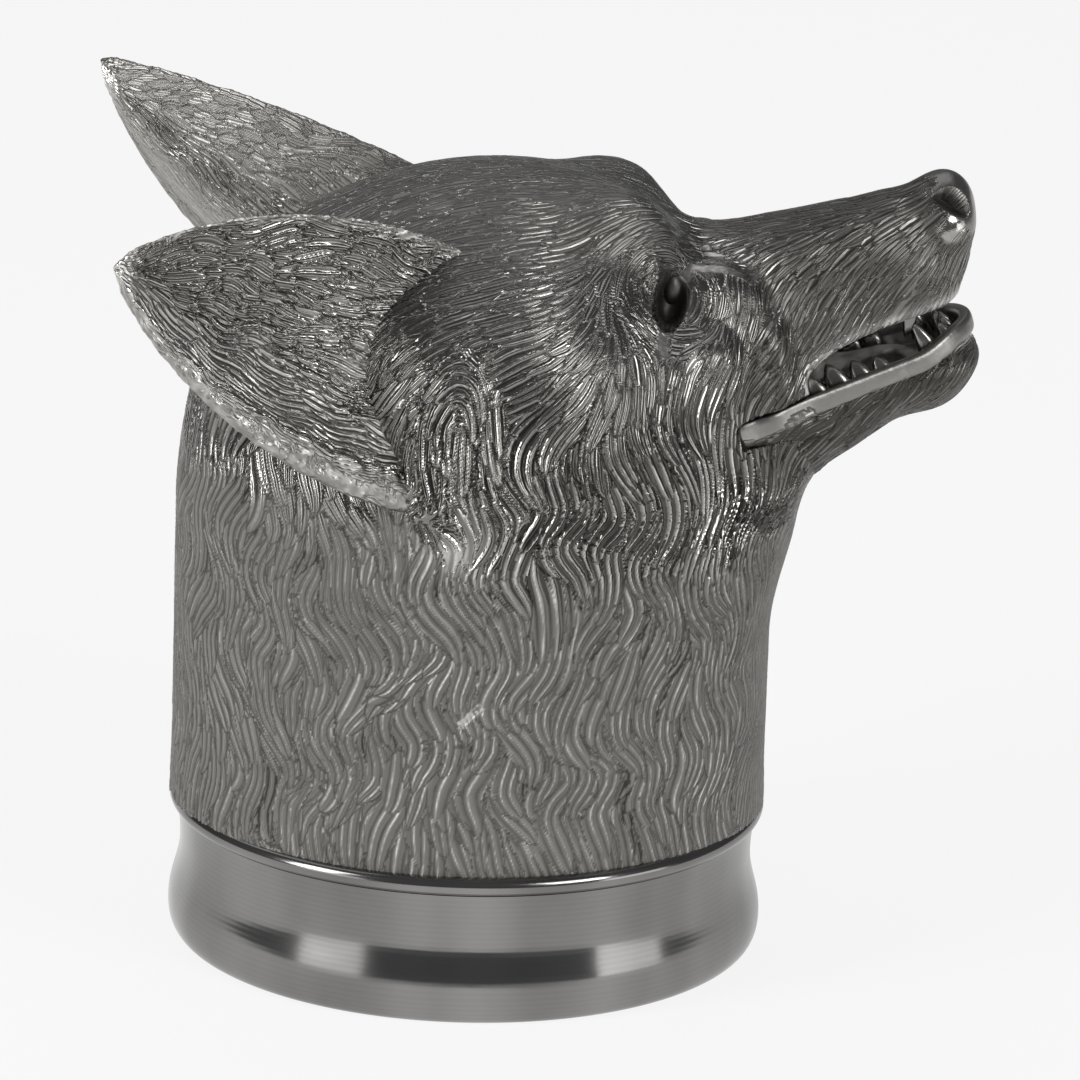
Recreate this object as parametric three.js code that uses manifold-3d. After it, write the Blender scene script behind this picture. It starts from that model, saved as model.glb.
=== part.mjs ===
// Fox head jigger: a spirit measure in the form of a fox's head and neck.
// It stands on its drinking edge. A spun cup inside the neck opens downward.
// Millimetres, +Z up. The fox looks along +X and its right side faces -Y.

import * as THREE from 'three';
import { mergeVertices } from 'three/addons/utils/BufferGeometryUtils.js';
import Module from 'manifold-3d';

const wasm = await Module();
wasm.setup();

// Clearance between soldered pieces
const seatGap = 0.3;

// Measuring cup
const cupMouthRadius = 21.6;
const cupWall = 0.9;
const cupDepth = 33;
const cupTaper = 1.0;
const cupCorner = 7;

// Collar: a spun ogee band below the fur
const collarHeight = 10.6;
const rimWidth = 0.7;
const waistWall = 0.8;
const flareSwell = 1.0;
const flareHeight = 2.4;
const waistHeight = 7.7;
const collarTopWidth = 1.15;

// Half-round wire that hides the joint of collar and fur
const beadHeight = 1.5;
const beadWidth = 1.75;

// Neck and head
const neckWall = 1.65;
const neckSideFlat = 0.85;
const neckHeight = 32.3;
const neckShoulder = 9;
const skullHalfLength = 20.8;
const skullHalfWidth = 18.9;
const skullHalfHeight = 18.2;
const crownHeight = 11.8;
const cheekSpread = 11.6;
const ruffSpread = 14.4;
const wedgeSpread = 6.2;
const ruffDrop = 3.2;
const browSpread = 6;

// Muzzle, measured from the stop between the eyes
const stopReach = 20;
const stopRise = 10.1;
const muzzleLength = 16.6;
const muzzleHalfWidth = 6.9;
const muzzleHalfHeight = 6.1;
const muzzlePitch = 13;
const noseRadius = 3.2;

// Eyes
const eyeReach = 14.6;
const eyeSpread = 8.9;
const eyeRise = 12.1;
const socketHalfHeight = 2.7;
const socketHalfWidth = 2.2;
const socketDepth = 2.4;
const eyeBulge = 1.5;

// Lower jaw
const jawReach = 17;
const jawRise = -2.5;
const jawLength = 20.6;
const jawSeat = 6;
const jawPitch = 18;
const jawHalfWidth = 6.9;
const lipWidth = 1.9;
const gumLedge = 0.4;
const mouthFloorDepth = 2.2;
const lipLine = 3.1;
const gapeReach = 28.6;
const gapeRise = 5;
const gapeHalfLength = 8.4;
const gapeHalfWidth = 14;
const gapeHalfHeight = 2;
const canineHeight = 3.4;
const canineRadius = 0.85;
const canineSetBack = 0.7;
const molarHeight = 2.4;
const molarRadius = 0.95;
const molarReach = 9.4;
const molarPitch = 1.5;
const molarCusps = 5;
const toothRoot = 0.6;

// Ears: each is a cupped leaf between an upper and a lower rim
const earThickness = 1.7;
const earLowerRimGain = 0.45;
const earCup = 0.4;
const earReach = 29.9;
const earTipSpread = 27;
const earTipRise = 18;
const leftEarLift = 3.6;
const leftEarArchDrop = 0.5;

// Facets
const roundSegments = 52;
const headAround = 48;
const earAround = 22;
const earSteps = 16;
const jawAround = 24;

// Radii and heights that follow from the sizes above
const cupOuterRadius = cupMouthRadius + cupWall;
const boreRadius = cupOuterRadius + seatGap;
const rimRadius = boreRadius + rimWidth;
const waistRadius = boreRadius + waistWall;
const flareRadius = rimRadius + flareSwell;
const neckRadius = boreRadius + neckWall;
const beadBase = collarHeight + seatGap;
const neckBase = beadBase + beadHeight + seatGap;
const headBase = neckBase + neckHeight;

function metal(color, roughness) {
  return new THREE.MeshStandardMaterial({ color, metalness: 1, roughness });
}

const degrees = THREE.MathUtils.degToRad;

// Smooth minimum and maximum: the blend runs over a band of the given width
function blend(a, b, width) {
  const share = THREE.MathUtils.clamp(0.5 + (0.5 * (b - a)) / width, 0, 1);
  return b * (1 - share) + a * share - width * share * (1 - share);
}

function carve(a, b, width) {
  return -blend(-a, b, width);
}

// One rounded mass: an ellipsoid, pitched nose-up and yawed away from the mid plane
function mass(centre, radii, pitch = 0, yaw = 0) {
  return {
    centre,
    radii,
    pitchCos: Math.cos(degrees(pitch)),
    pitchSin: Math.sin(degrees(pitch)),
    yawCos: Math.cos(degrees(yaw)),
    yawSin: Math.sin(degrees(yaw)),
  };
}

// Distance from a point to a mass, negative inside
function distanceTo(m, x, y, z) {
  const dx = x - m.centre[0];
  const dy = y - m.centre[1];
  const dz = z - m.centre[2];
  const ahead = m.yawCos * dx + m.yawSin * dy;
  const aside = m.yawCos * dy - m.yawSin * dx;
  const along = m.pitchCos * ahead + m.pitchSin * dz;
  const above = m.pitchCos * dz - m.pitchSin * ahead;
  const [rx, ry, rz] = m.radii;
  const scaled = Math.hypot(along / rx, aside / ry, above / rz);
  const slope = Math.hypot(along / rx ** 2, aside / ry ** 2, above / rz ** 2) + 1e-9;
  return (scaled * (scaled - 1)) / slope;
}

// A place on the muzzle, from distances along and above its axis
function onMuzzle(along, above, aside = 0) {
  const pitch = degrees(muzzlePitch);
  const x = stopReach + along * Math.cos(pitch) - above * Math.sin(pitch);
  const z = headBase + stopRise + along * Math.sin(pitch) + above * Math.cos(pitch);
  return [x, aside, z];
}

const noseAlong = muzzleLength + 0.4;
const headMasses = {
  skull: mass([skullHalfLength - neckRadius + 1.2, 0, headBase + 0.8],
    [skullHalfLength, skullHalfWidth, skullHalfHeight]),
  crown: mass([3.6, 0, headBase + crownHeight], [13.6, 11.5, 7.9], 2),
  cheek: mass([4.6, cheekSpread, headBase + 2.5], [14.2, 9.6, 11.3], 0, -20),
  ruff: mass([4.4, ruffSpread, headBase - ruffDrop], [13.6, 8.8, 8.6], 0, -14),
  wedge: mass([16.8, wedgeSpread, headBase + 5.2], [10, 5.6, 6.4], 8, -24),
  throat: mass([16.6, 0, headBase - 6], [9, 9.5, 9], 20),
  brow: mass([10.6, browSpread, headBase + 14.4], [4.8, 4.2, 4.6], -18),
};
const muzzleMasses = {
  muzzle: mass(onMuzzle(6.4, -1), [13, muzzleHalfWidth, muzzleHalfHeight], muzzlePitch),
  snout: mass(onMuzzle(muzzleLength - 3.9, -0.2), [6.4, 5, 5], muzzlePitch),
  lip: mass(onMuzzle(7.8, -3.8, 4.4), [9, 2.3, 3], muzzlePitch + 4, -9),
  bridge: mass(onMuzzle(5, 1.3), [13.5, 4.1, 3.6], 5),
  nose: mass(onMuzzle(noseAlong + 0.3, 3.2), [2.9, 3.5, noseRadius]),
};

// The whole head and neck as one distance, negative inside
function headDistance(x, signedY, z) {
  const y = Math.abs(signedY);
  const sideRadius = neckRadius - neckSideFlat;
  const wall = (Math.hypot(x / neckRadius, y / sideRadius) - 1) * neckRadius;
  let d = carve(wall, headBase - z, neckShoulder);
  d = blend(d, distanceTo(headMasses.skull, x, y, z), 4);
  d = blend(d, distanceTo(headMasses.crown, x, y, z), 4);
  d = blend(d, distanceTo(headMasses.cheek, x, y, z), 5);
  d = blend(d, distanceTo(headMasses.ruff, x, y, z), 3);
  d = blend(d, distanceTo(headMasses.throat, x, y, z), 6);
  d = blend(d, distanceTo(headMasses.wedge, x, y, z), 5);
  let m = distanceTo(muzzleMasses.muzzle, x, y, z);
  m = blend(m, distanceTo(muzzleMasses.snout, x, y, z), 2.5);
  m = blend(m, distanceTo(muzzleMasses.lip, x, y, z), 2);
  m = blend(m, distanceTo(muzzleMasses.bridge, x, y, z), 3);
  m = blend(m, distanceTo(muzzleMasses.nose, x, y, z), 1.4);
  d = blend(d, m, 4);
  return blend(d, distanceTo(headMasses.brow, x, y, z), 3);
}

// Where a ray from inside the form meets its surface
function surfacePoint(distance, from, way, level, reach) {
  const at = (t) => distance(from.x + way.x * t, from.y + way.y * t, from.z + way.z * t) - level;
  const step = 0.8;
  let near = 0;
  let far = reach;
  for (let t = step; t <= reach; t += step) {
    if (at(t) > 0) {
      far = t;
      break;
    }
    near = t;
  }
  for (let i = 0; i < 20; i += 1) {
    const middle = (near + far) / 2;
    if (at(middle) > 0) {
      far = middle;
    } else {
      near = middle;
    }
  }
  return from.clone().addScaledVector(way, (near + far) / 2);
}

// A station is a section plane: its centre, the way to its outer edge, and a
// forward lean that turns the flat section into a cone at a rounded tip.
function station(x, z, outward, lean = 0) {
  return {
    centre: new THREE.Vector3(x, 0, z),
    outward: new THREE.Vector3(Math.cos(outward), 0, Math.sin(outward)),
    ahead: new THREE.Vector3(Math.sin(outward), 0, -Math.cos(outward)),
    lean,
  };
}

function stationRing(s, around, distance, level, reach) {
  const ring = [];
  for (let i = 0; i < around; i += 1) {
    const turn = (2 * Math.PI * i) / around;
    const way = s.outward.clone().multiplyScalar(Math.cos(turn) * Math.cos(s.lean));
    way.y = -Math.sin(turn) * Math.cos(s.lean);
    way.addScaledVector(s.ahead, Math.sin(s.lean));
    ring.push(surfacePoint(distance, s.centre, way, level, reach));
  }
  return ring;
}

// Stations up the neck, round a pivot in front of the throat, along the muzzle
// and over the nose, so no two section planes cross inside the head.
const pivotX = neckRadius + 6.5;
const pivotZ = headBase - 8;
const fanStart = pivotX - 1;
const fanEnd = 19;
const fanLean = degrees(107);
const noseCentre = onMuzzle(muzzleLength - 1.1, 0.2);

function headStations(base) {
  const list = [];
  const neckSteps = 7;
  const fanSteps = 20;
  const muzzleSteps = 12;
  const noseSteps = 6;
  for (let i = 0; i < neckSteps; i += 1) {
    const t = i / neckSteps;
    list.push(station(t, base + (pivotZ - base) * t, Math.PI));
  }
  for (let i = 0; i < fanSteps; i += 1) {
    const t = i / fanSteps;
    const angle = Math.PI + (fanLean - Math.PI) * t;
    const radius = fanStart + (fanEnd - fanStart) * t ** 1.3;
    list.push(station(pivotX + radius * Math.cos(angle), pivotZ + radius * Math.sin(angle), angle));
  }
  const startX = pivotX + fanEnd * Math.cos(fanLean);
  const startZ = pivotZ + fanEnd * Math.sin(fanLean);
  for (let i = 0; i < muzzleSteps; i += 1) {
    const t = i / muzzleSteps;
    const x = startX + (noseCentre[0] - startX) * t;
    const z = startZ + (noseCentre[2] - startZ) * t;
    list.push(station(x, z, fanLean));
  }
  for (let i = 0; i < noseSteps; i += 1) {
    const lean = (0.5 * Math.PI * i) / (noseSteps - 0.4);
    list.push(station(noseCentre[0], noseCentre[2], fanLean, lean));
  }
  return list;
}

// Closed geometry through rings of equal count, with a fan over each end
function loft(rings) {
  const around = rings[0].length;
  const positions = rings.flat().flatMap((p) => [p.x, p.y, p.z]);
  const index = [];
  for (let i = 0; i + 1 < rings.length; i += 1) {
    for (let j = 0; j < around; j += 1) {
      const a = i * around + j;
      const b = i * around + ((j + 1) % around);
      index.push(a, b, b + around, a, b + around, a + around);
    }
  }
  for (const end of [0, rings.length - 1]) {
    const middle = new THREE.Vector3();
    rings[end].forEach((p) => middle.addScaledVector(p, 1 / around));
    const centre = positions.length / 3;
    positions.push(middle.x, middle.y, middle.z);
    for (let j = 0; j < around; j += 1) {
      const a = end * around + j;
      const b = end * around + ((j + 1) % around);
      index.push(...(end === 0 ? [centre, b, a] : [centre, a, b]));
    }
  }
  const geometry = new THREE.BufferGeometry();
  geometry.setAttribute('position', new THREE.Float32BufferAttribute(positions, 3));
  geometry.setIndex(index);
  return geometry;
}

// Closed geometry to a solid for cutting and joining, and back
function toSolid(geometry) {
  const bare = new THREE.BufferGeometry();
  bare.setAttribute('position', geometry.getAttribute('position').clone());
  bare.setIndex(geometry.getIndex());
  const merged = mergeVertices(bare, 1e-4);
  const vertProperties = Float32Array.from(merged.getAttribute('position').array);
  const triVerts = Uint32Array.from(merged.getIndex().array);
  return new wasm.Manifold(new wasm.Mesh({ numProp: 3, vertProperties, triVerts }));
}

function toGeometry(solid) {
  const mesh = solid.getMesh();
  const geometry = new THREE.BufferGeometry();
  geometry.setAttribute('position', new THREE.Float32BufferAttribute(mesh.vertProperties, 3));
  geometry.setIndex(Array.from(mesh.triVerts));
  geometry.computeVertexNormals();
  return geometry;
}

// A profile of [radius, height] points turned about the upright axis
function turned(profile, segments = roundSegments) {
  const points = profile.map(([radius, height]) => new THREE.Vector2(radius, height));
  return new THREE.LatheGeometry(points, segments).rotateX(Math.PI / 2);
}

// Half section of the cup from its mouth to the middle of its closed end
function cupProfile(radius, depth, corner) {
  const endRadius = radius - cupTaper;
  const profile = [[radius, 0], [endRadius, depth - corner]];
  const cornerSteps = 5;
  for (let i = 1; i <= cornerSteps; i += 1) {
    const turn = (0.5 * Math.PI * i) / cornerSteps;
    profile.push([endRadius - corner + corner * Math.cos(turn), depth - corner + corner * Math.sin(turn)]);
  }
  profile.push([0, depth]);
  return profile;
}

function cupLiner() {
  const inside = cupProfile(cupMouthRadius, cupDepth, cupCorner).reverse();
  const outside = cupProfile(cupOuterRadius, cupDepth + cupWall, cupCorner + cupWall);
  return turned([...inside, ...outside]);
}

// The bore that the cup fills, with a clearance all round
function boreSolid() {
  const room = cupWall + seatGap;
  return toSolid(turned([[0, 0], ...cupProfile(boreRadius, cupDepth + room, cupCorner + room)]));
}

// Collar: drinking edge, convex flare, cove at the waist, ledge under the bead
function collar() {
  const swell = new THREE.CubicBezierCurve(
    new THREE.Vector2(rimRadius, 0),
    new THREE.Vector2(flareRadius - 0.35, 0.15),
    new THREE.Vector2(flareRadius + 0.05, flareHeight - 1.4),
    new THREE.Vector2(flareRadius, flareHeight),
  );
  const cove = new THREE.CubicBezierCurve(
    new THREE.Vector2(flareRadius, flareHeight),
    new THREE.Vector2(flareRadius - 0.05, flareHeight + 1.9),
    new THREE.Vector2(waistRadius, waistHeight - 2.4),
    new THREE.Vector2(waistRadius, waistHeight),
  );
  const lift = new THREE.QuadraticBezierCurve(
    new THREE.Vector2(waistRadius, waistHeight),
    new THREE.Vector2(waistRadius + 0.02, collarHeight - 1),
    new THREE.Vector2(boreRadius + collarTopWidth, collarHeight),
  );
  const outside = [...swell.getPoints(6), ...cove.getPoints(7).slice(1), ...lift.getPoints(4).slice(1)];
  const profile = outside.map((p) => [p.x, p.y]);
  return turned([[boreRadius, 0], ...profile, [boreRadius, collarHeight], [boreRadius, 0]]);
}

function collarBead() {
  const profile = [[boreRadius, beadBase]];
  const steps = 6;
  for (let i = 0; i <= steps; i += 1) {
    const turn = Math.PI * (i / steps - 0.5);
    const swell = (beadHeight / 2) * Math.cos(turn);
    profile.push([
      boreRadius + beadWidth - beadHeight / 2 + swell,
      beadBase + (beadHeight / 2) * (1 + Math.sin(turn)),
    ]);
  }
  profile.push([boreRadius, beadBase + beadHeight], [boreRadius, beadBase]);
  return turned(profile);
}

// Head solid at its surface, or grown by a clearance for cutting its neighbours
function headSolid(level, base) {
  const rings = headStations(base).map((s) => stationRing(s, headAround, headDistance, level, 60));
  return toSolid(loft(rings));
}

// An ellipsoid solid, turned nose-up by its pitch
function pebble(centre, radii, pitch = 0, segments = 18) {
  const geometry = new THREE.SphereGeometry(1, segments, Math.round(segments / 2));
  geometry.rotateX(Math.PI / 2).scale(...radii).rotateY(-degrees(pitch)).translate(...centre);
  return toSolid(geometry);
}

// The gape of the mouth is a thin lens across the muzzle, closed at its corners
function gapeSolid(inset) {
  const centre = [gapeReach, 0, headBase + gapeRise];
  const radii = [gapeHalfLength, gapeHalfWidth, gapeHalfHeight].map((r) => r - inset);
  return pebble(centre, radii, jawPitch, 26);
}

function socketSolid(side, inset) {
  const centre = [eyeReach, side * eyeSpread, headBase + eyeRise];
  const radii = [socketHalfWidth, socketDepth, socketHalfHeight].map((r) => r - inset);
  return pebble(centre, radii);
}

const grownHead = headSolid(seatGap, neckBase - seatGap).subtract(gapeSolid(seatGap));

function headCasting() {
  const head = headSolid(0, neckBase).subtract(boreSolid()).subtract(gapeSolid(0));
  return toGeometry(head.subtract(socketSolid(1, 0)).subtract(socketSolid(-1, 0)));
}

// Each eye is a shallow bead that lies in the bottom of its socket
function eye(side) {
  const sink = socketDepth - eyeBulge;
  const centre = [eyeReach - sink * 0.4, side * (eyeSpread - sink), headBase + eyeRise];
  const bead = pebble(centre, [socketHalfWidth - 0.6, eyeBulge, socketHalfHeight - 0.7], 0, 14);
  return toGeometry(bead.intersect(socketSolid(side, seatGap)));
}

// Lower jaw
function onJaw(along, above, aside = 0) {
  const pitch = degrees(jawPitch);
  const x = jawReach + along * Math.cos(pitch) - above * Math.sin(pitch);
  const z = headBase + jawRise + along * Math.sin(pitch) + above * Math.cos(pitch);
  return [x, aside, z];
}

const jawMasses = {
  body: mass(onJaw(13.7, 0.8), [11.5, jawHalfWidth, 4.2], jawPitch),
  chin: mass(onJaw(jawLength, 1), [3.5, 3.7, 4], jawPitch),
  root: mass(onJaw(8.6, -0.6), [8, 8.4, 4.8], jawPitch + 6),
};

function jawDistance(x, signedY, z) {
  const y = Math.abs(signedY);
  const d = blend(distanceTo(jawMasses.body, x, y, z), distanceTo(jawMasses.chin, x, y, z), 3);
  return blend(d, distanceTo(jawMasses.root, x, y, z), 4);
}

function jawSolid() {
  const outward = degrees(90 + jawPitch);
  const steps = 14;
  const tipSteps = 5;
  const list = [];
  for (let i = 0; i < steps; i += 1) {
    const [x, , z] = onJaw((jawLength * (i + 0.6)) / steps, 0);
    list.push(station(x, z, outward));
  }
  for (let i = 0; i < tipSteps; i += 1) {
    const [x, , z] = onJaw(jawLength, 0);
    list.push(station(x, z, outward, (0.5 * Math.PI * i) / (tipSteps - 0.4)));
  }
  return toSolid(loft(list.map((s) => stationRing(s, jawAround, jawDistance, 0, 16))));
}

// Moves geometry made in the jaw's own frame, x along it and z above it, into place
function seatOnJaw(geometry) {
  geometry.rotateY(-degrees(jawPitch));
  const [x, , z] = onJaw(0, 0);
  geometry.translate(x, 0, z);
  return toSolid(geometry);
}

const lipAxis = lipLine - lipWidth / 2;
const channelInset = lipWidth + gumLedge;

// A point on the jaw's outline at the height of the lip, an inset inside its surface
function jawOutline(turn, inset) {
  const [x, , z] = onJaw(jawLength - 5, lipAxis);
  const pitch = degrees(jawPitch);
  const way = new THREE.Vector3(
    Math.cos(turn) * Math.cos(pitch),
    Math.sin(turn),
    Math.cos(turn) * Math.sin(pitch),
  );
  return surfacePoint(jawDistance, new THREE.Vector3(x, 0, z), way, -inset, 26);
}

// The mouth floor: the outline inside the lip, sunk to the depth of the channel
function mouthChannel() {
  const count = 30;
  const centre = jawLength - 5;
  const [x, , z] = onJaw(centre, lipAxis);
  const shape = new THREE.Shape();
  for (let i = 0; i < count; i += 1) {
    const turn = (2 * Math.PI * i) / count;
    const reach = jawOutline(turn, channelInset).distanceTo(new THREE.Vector3(x, 0, z));
    const point = [centre + reach * Math.cos(turn), reach * Math.sin(turn)];
    if (i === 0) {
      shape.moveTo(...point);
    } else {
      shape.lineTo(...point);
    }
  }
  const depth = mouthFloorDepth + lipWidth;
  const channel = new THREE.ExtrudeGeometry(shape, { depth, bevelEnabled: false });
  channel.translate(0, 0, lipLine - mouthFloorDepth);
  return seatOnJaw(channel);
}

// The lip is a round bead that runs along both edges and round the chin
function lipBead() {
  const corner = degrees(157);
  const count = 22;
  const points = [];
  for (let i = 0; i <= count; i += 1) {
    points.push(jawOutline(corner * ((2 * i) / count - 1), lipWidth / 2));
  }
  const section = new THREE.Shape();
  section.absarc(0, 0, lipWidth / 2, 0, 2 * Math.PI);
  const path = new THREE.CatmullRomCurve3(points);
  const bead = new THREE.ExtrudeGeometry(section, { steps: 30, curveSegments: 4, extrudePath: path });
  return toSolid(bead);
}

// A tooth is a rounded cusp that stands on the mouth floor against the lip wall
function cusp(along, side, height, radius) {
  const [x, , z] = onJaw(along, lipAxis);
  const outward = new THREE.Vector3(0, 1, 0);
  const wall = surfacePoint(jawDistance, new THREE.Vector3(x, 0, z), outward, -channelInset, 16).y;
  const profile = [
    [0, -toothRoot],
    [radius, -toothRoot],
    [radius * 0.85, height * 0.6],
    [radius * 0.4, height * 0.95],
    [0, height],
  ];
  const tooth = turned(profile, 7);
  tooth.translate(along, side * (wall - radius * 0.6), lipLine - mouthFloorDepth);
  return seatOnJaw(tooth);
}

function lowerTeeth() {
  const cusps = [];
  for (const side of [-1, 1]) {
    for (let i = 0; i < molarCusps; i += 1) {
      cusps.push(cusp(molarReach + molarPitch * i, side, molarHeight, molarRadius));
    }
    cusps.push(cusp(jawLength - canineSetBack, side, canineHeight, canineRadius));
  }
  return cusps;
}

function lowerJaw() {
  const above = new THREE.BoxGeometry(60, 60, 30);
  above.translate(jawLength / 2, 0, lipAxis + 15);
  const behind = new THREE.BoxGeometry(30, 60, 60);
  behind.translate(jawSeat - 15, 0, 0);
  let jaw = jawSolid().subtract(seatOnJaw(above)).subtract(mouthChannel()).add(lipBead());
  jaw = jaw.subtract(seatOnJaw(behind));
  lowerTeeth().forEach((tooth) => {
    jaw = jaw.add(tooth);
  });
  return toGeometry(jaw.subtract(grownHead));
}

// Ears
function earRims(side) {
  const lift = side > 0 ? leftEarLift : 0;
  const arch = side > 0 ? leftEarArchDrop : 0;
  const tip = new THREE.Vector3(-earReach - lift / 4, earTipSpread, headBase + earTipRise + lift);
  const upper = new THREE.CubicBezierCurve3(
    new THREE.Vector3(-1, 11, headBase + 15),
    new THREE.Vector3(-12, 15, headBase + 21.4 - arch),
    new THREE.Vector3(-23.5, 22, headBase + 21.4 + lift / 3),
    tip.clone().add(new THREE.Vector3(0, 0, 0.2)),
  );
  const lower = new THREE.CubicBezierCurve3(
    new THREE.Vector3(-2, 18.6, headBase - 4.5),
    new THREE.Vector3(-13.5, 27, headBase - 1.9),
    new THREE.Vector3(-26, 28, headBase + 8),
    tip.clone().add(new THREE.Vector3(0, 0, -0.2)),
  );
  return { upper, lower };
}

function earRings(side) {
  const { upper, lower } = earRims(side);
  const rings = [];
  for (let i = 0; i < earSteps; i += 1) {
    const t = 1 - (1 - i / (earSteps - 1)) ** 1.25;
    const top = upper.getPoint(t);
    const bottom = lower.getPoint(t);
    const middle = top.clone().lerp(bottom, 0.5);
    const across = bottom.clone().sub(middle);
    const half = across.length();
    const along = upper.getTangent(t).add(lower.getTangent(t)).normalize();
    const opening = across.clone().cross(along).normalize();
    const dish = earCup * half * Math.min(1, 0.35 + 1.6 * t) * (1 - 0.3 * t);
    const ring = [];
    for (let j = 0; j < earAround; j += 1) {
      const turn = (2 * Math.PI * j) / earAround;
      const s = Math.cos(turn);
      const thickness = Math.min((earThickness - 0.7 * t) * (1 + earLowerRimGain * s), half + 0.2);
      const face = Math.sign(Math.sin(turn)) * Math.abs(Math.sin(turn)) ** 0.6;
      const offset = (face * thickness) / 2 - dish * (1 - s * s);
      const point = middle.clone().addScaledVector(across, s).addScaledVector(opening, offset);
      point.y *= side;
      ring.push(point);
    }
    rings.push(side > 0 ? ring.reverse() : ring);
  }
  return rings;
}

function ear(side) {
  return toGeometry(toSolid(loft(earRings(side))).subtract(grownHead));
}

// Assembly
const jigger = new THREE.Group();

function place(name, geometry, material) {
  const mesh = new THREE.Mesh(geometry, material);
  mesh.name = name;
  jigger.add(mesh);
  return mesh;
}

place('head_casting', headCasting(), metal(0x9c9a96, 0.36));
place('lower_jaw', lowerJaw(), metal(0x9c9a96, 0.34));
place('right_ear', ear(-1), metal(0xa09e99, 0.3));
place('left_ear', ear(1), metal(0xa09e99, 0.3));
place('right_eye', eye(-1), metal(0x5c5a56, 0.2));
place('left_eye', eye(1), metal(0x5c5a56, 0.2));
place('collar_bead', collarBead(), metal(0xb4b3b0, 0.22));
place('collar', collar(), metal(0xb8b7b4, 0.12));
place('cup_liner', cupLiner(), metal(0xb4b3b0, 0.16));

// The origin is the middle of the overall box, on the plane of the drinking edge
const bounds = new THREE.Box3().setFromObject(jigger);
const middle = bounds.getCenter(new THREE.Vector3());
jigger.children.forEach((mesh) => {
  mesh.position.set(-middle.x, -middle.y, -bounds.min.z);
});

export default jigger;
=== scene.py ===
import math
from itertools import pairwise, product
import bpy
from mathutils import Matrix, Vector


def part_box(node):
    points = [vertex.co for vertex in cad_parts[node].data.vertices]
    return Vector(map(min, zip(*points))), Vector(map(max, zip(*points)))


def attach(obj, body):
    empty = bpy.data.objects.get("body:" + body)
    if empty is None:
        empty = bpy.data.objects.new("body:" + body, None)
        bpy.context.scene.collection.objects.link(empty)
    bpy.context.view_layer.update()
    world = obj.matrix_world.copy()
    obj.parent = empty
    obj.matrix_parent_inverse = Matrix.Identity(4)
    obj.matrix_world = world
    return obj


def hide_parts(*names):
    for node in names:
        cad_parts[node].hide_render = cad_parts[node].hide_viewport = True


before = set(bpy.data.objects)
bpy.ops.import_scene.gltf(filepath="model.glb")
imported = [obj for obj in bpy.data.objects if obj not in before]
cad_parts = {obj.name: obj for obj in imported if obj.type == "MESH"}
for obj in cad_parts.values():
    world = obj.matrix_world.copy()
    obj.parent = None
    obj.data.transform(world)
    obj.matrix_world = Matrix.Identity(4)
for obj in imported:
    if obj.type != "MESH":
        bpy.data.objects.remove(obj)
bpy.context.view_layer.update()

from types import SimpleNamespace as Sizes

import bpy
import numpy as np
from mathutils import Quaternion, Vector

# Lengths below are millimetres from the middle of the drinking edge, x towards the muzzle.
# Every point is moved by the collar's own middle and divided by 1000 when its mesh is made.
collarLow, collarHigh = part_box("collar")
shift = 500 * np.array([collarLow.x + collarHigh.x, collarLow.y + collarHigh.y, 0.0])
headBase = 45.0  # where the neck's wall rounds over into the head

print("stage 1: shape functions")


def unit(v):
    return v / np.maximum(np.linalg.norm(v, axis=-1, keepdims=True), 1e-9)


def smoothstep(low, high, value):
    t = np.clip((value - low) / (high - low), 0, 1)
    return t * t * (3 - 2 * t)


def around(count):
    # Angles of a ring of that many points
    return 2 * math.pi * np.arange(count) / count


def spread(x, y, z):
    # Points from three arrays of coordinates that may need widening to one another
    return np.stack(np.broadcast_arrays(x, y, z), axis=-1)


def merge(a, b, width):
    # Smooth minimum of two distances, rounded over a band of that width
    share = np.clip(0.5 + 0.5 * (b - a) / width, 0, 1)
    return b + (a - b) * share - width * share * (1 - share)


def carve(a, b, width):
    # a with the inside of b taken out, rounded over the width
    return -merge(-a, b, width)


def pebble(p, centre, radii, pitch=0.0, yaw=0.0):
    # About the distance to an ellipsoid: the scaled radius times one less than itself, over its slope
    d = p - np.array(centre)
    cy, sy = math.cos(math.radians(yaw)), math.sin(math.radians(yaw))
    cp, sp = math.cos(math.radians(pitch)), math.sin(math.radians(pitch))
    ahead = cy * d[..., 0] + sy * d[..., 1]
    aside = cy * d[..., 1] - sy * d[..., 0]
    along = cp * ahead + sp * d[..., 2]
    above = cp * d[..., 2] - sp * ahead
    a, b, c = radii
    k = np.sqrt((along / a) ** 2 + (aside / b) ** 2 + (above / c) ** 2)
    g = np.sqrt((along / a**2) ** 2 + (aside / b**2) ** 2 + (above / c**2) ** 2)
    return k * (k - 1) / (g + 1e-9)


waveForm = Sizes(count=7, sizes=(0.75, 1.6), full=3.2)
rayForm = Sizes(turns=18, stride=0.92)  # the stride is under 1, as a merged distance can read a little long


def waves(p, size, seed):
    # Soft bumps from -1 to 1: a sum of sines along random directions, about size apart
    rng = np.random.default_rng(seed)
    total = np.zeros(p.shape[:-1])
    for _ in range(waveForm.count):
        way = unit(rng.normal(size=3)) * 2 * math.pi / (size * rng.uniform(*waveForm.sizes))
        total += np.sin(p @ way + rng.uniform(0, 2 * math.pi))
    return np.clip(total / waveForm.full, -1, 1)


def castRays(field, start, way, reach=60.0):
    # Walks out from inside a form by its own distance until the surface is met
    t = np.zeros(way.shape[:-1])
    for _ in range(rayForm.turns):
        t = np.clip(t - rayForm.stride * field(start + way * t[..., None]), 0, reach)
    return start + way * t[..., None]


def gridNormals(p):
    # Normals of a grid whose columns close on themselves: across the columns, times along the rows
    return unit(np.cross(np.roll(p, -1, axis=1) - np.roll(p, 1, axis=1), np.gradient(p, axis=0)))


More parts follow.
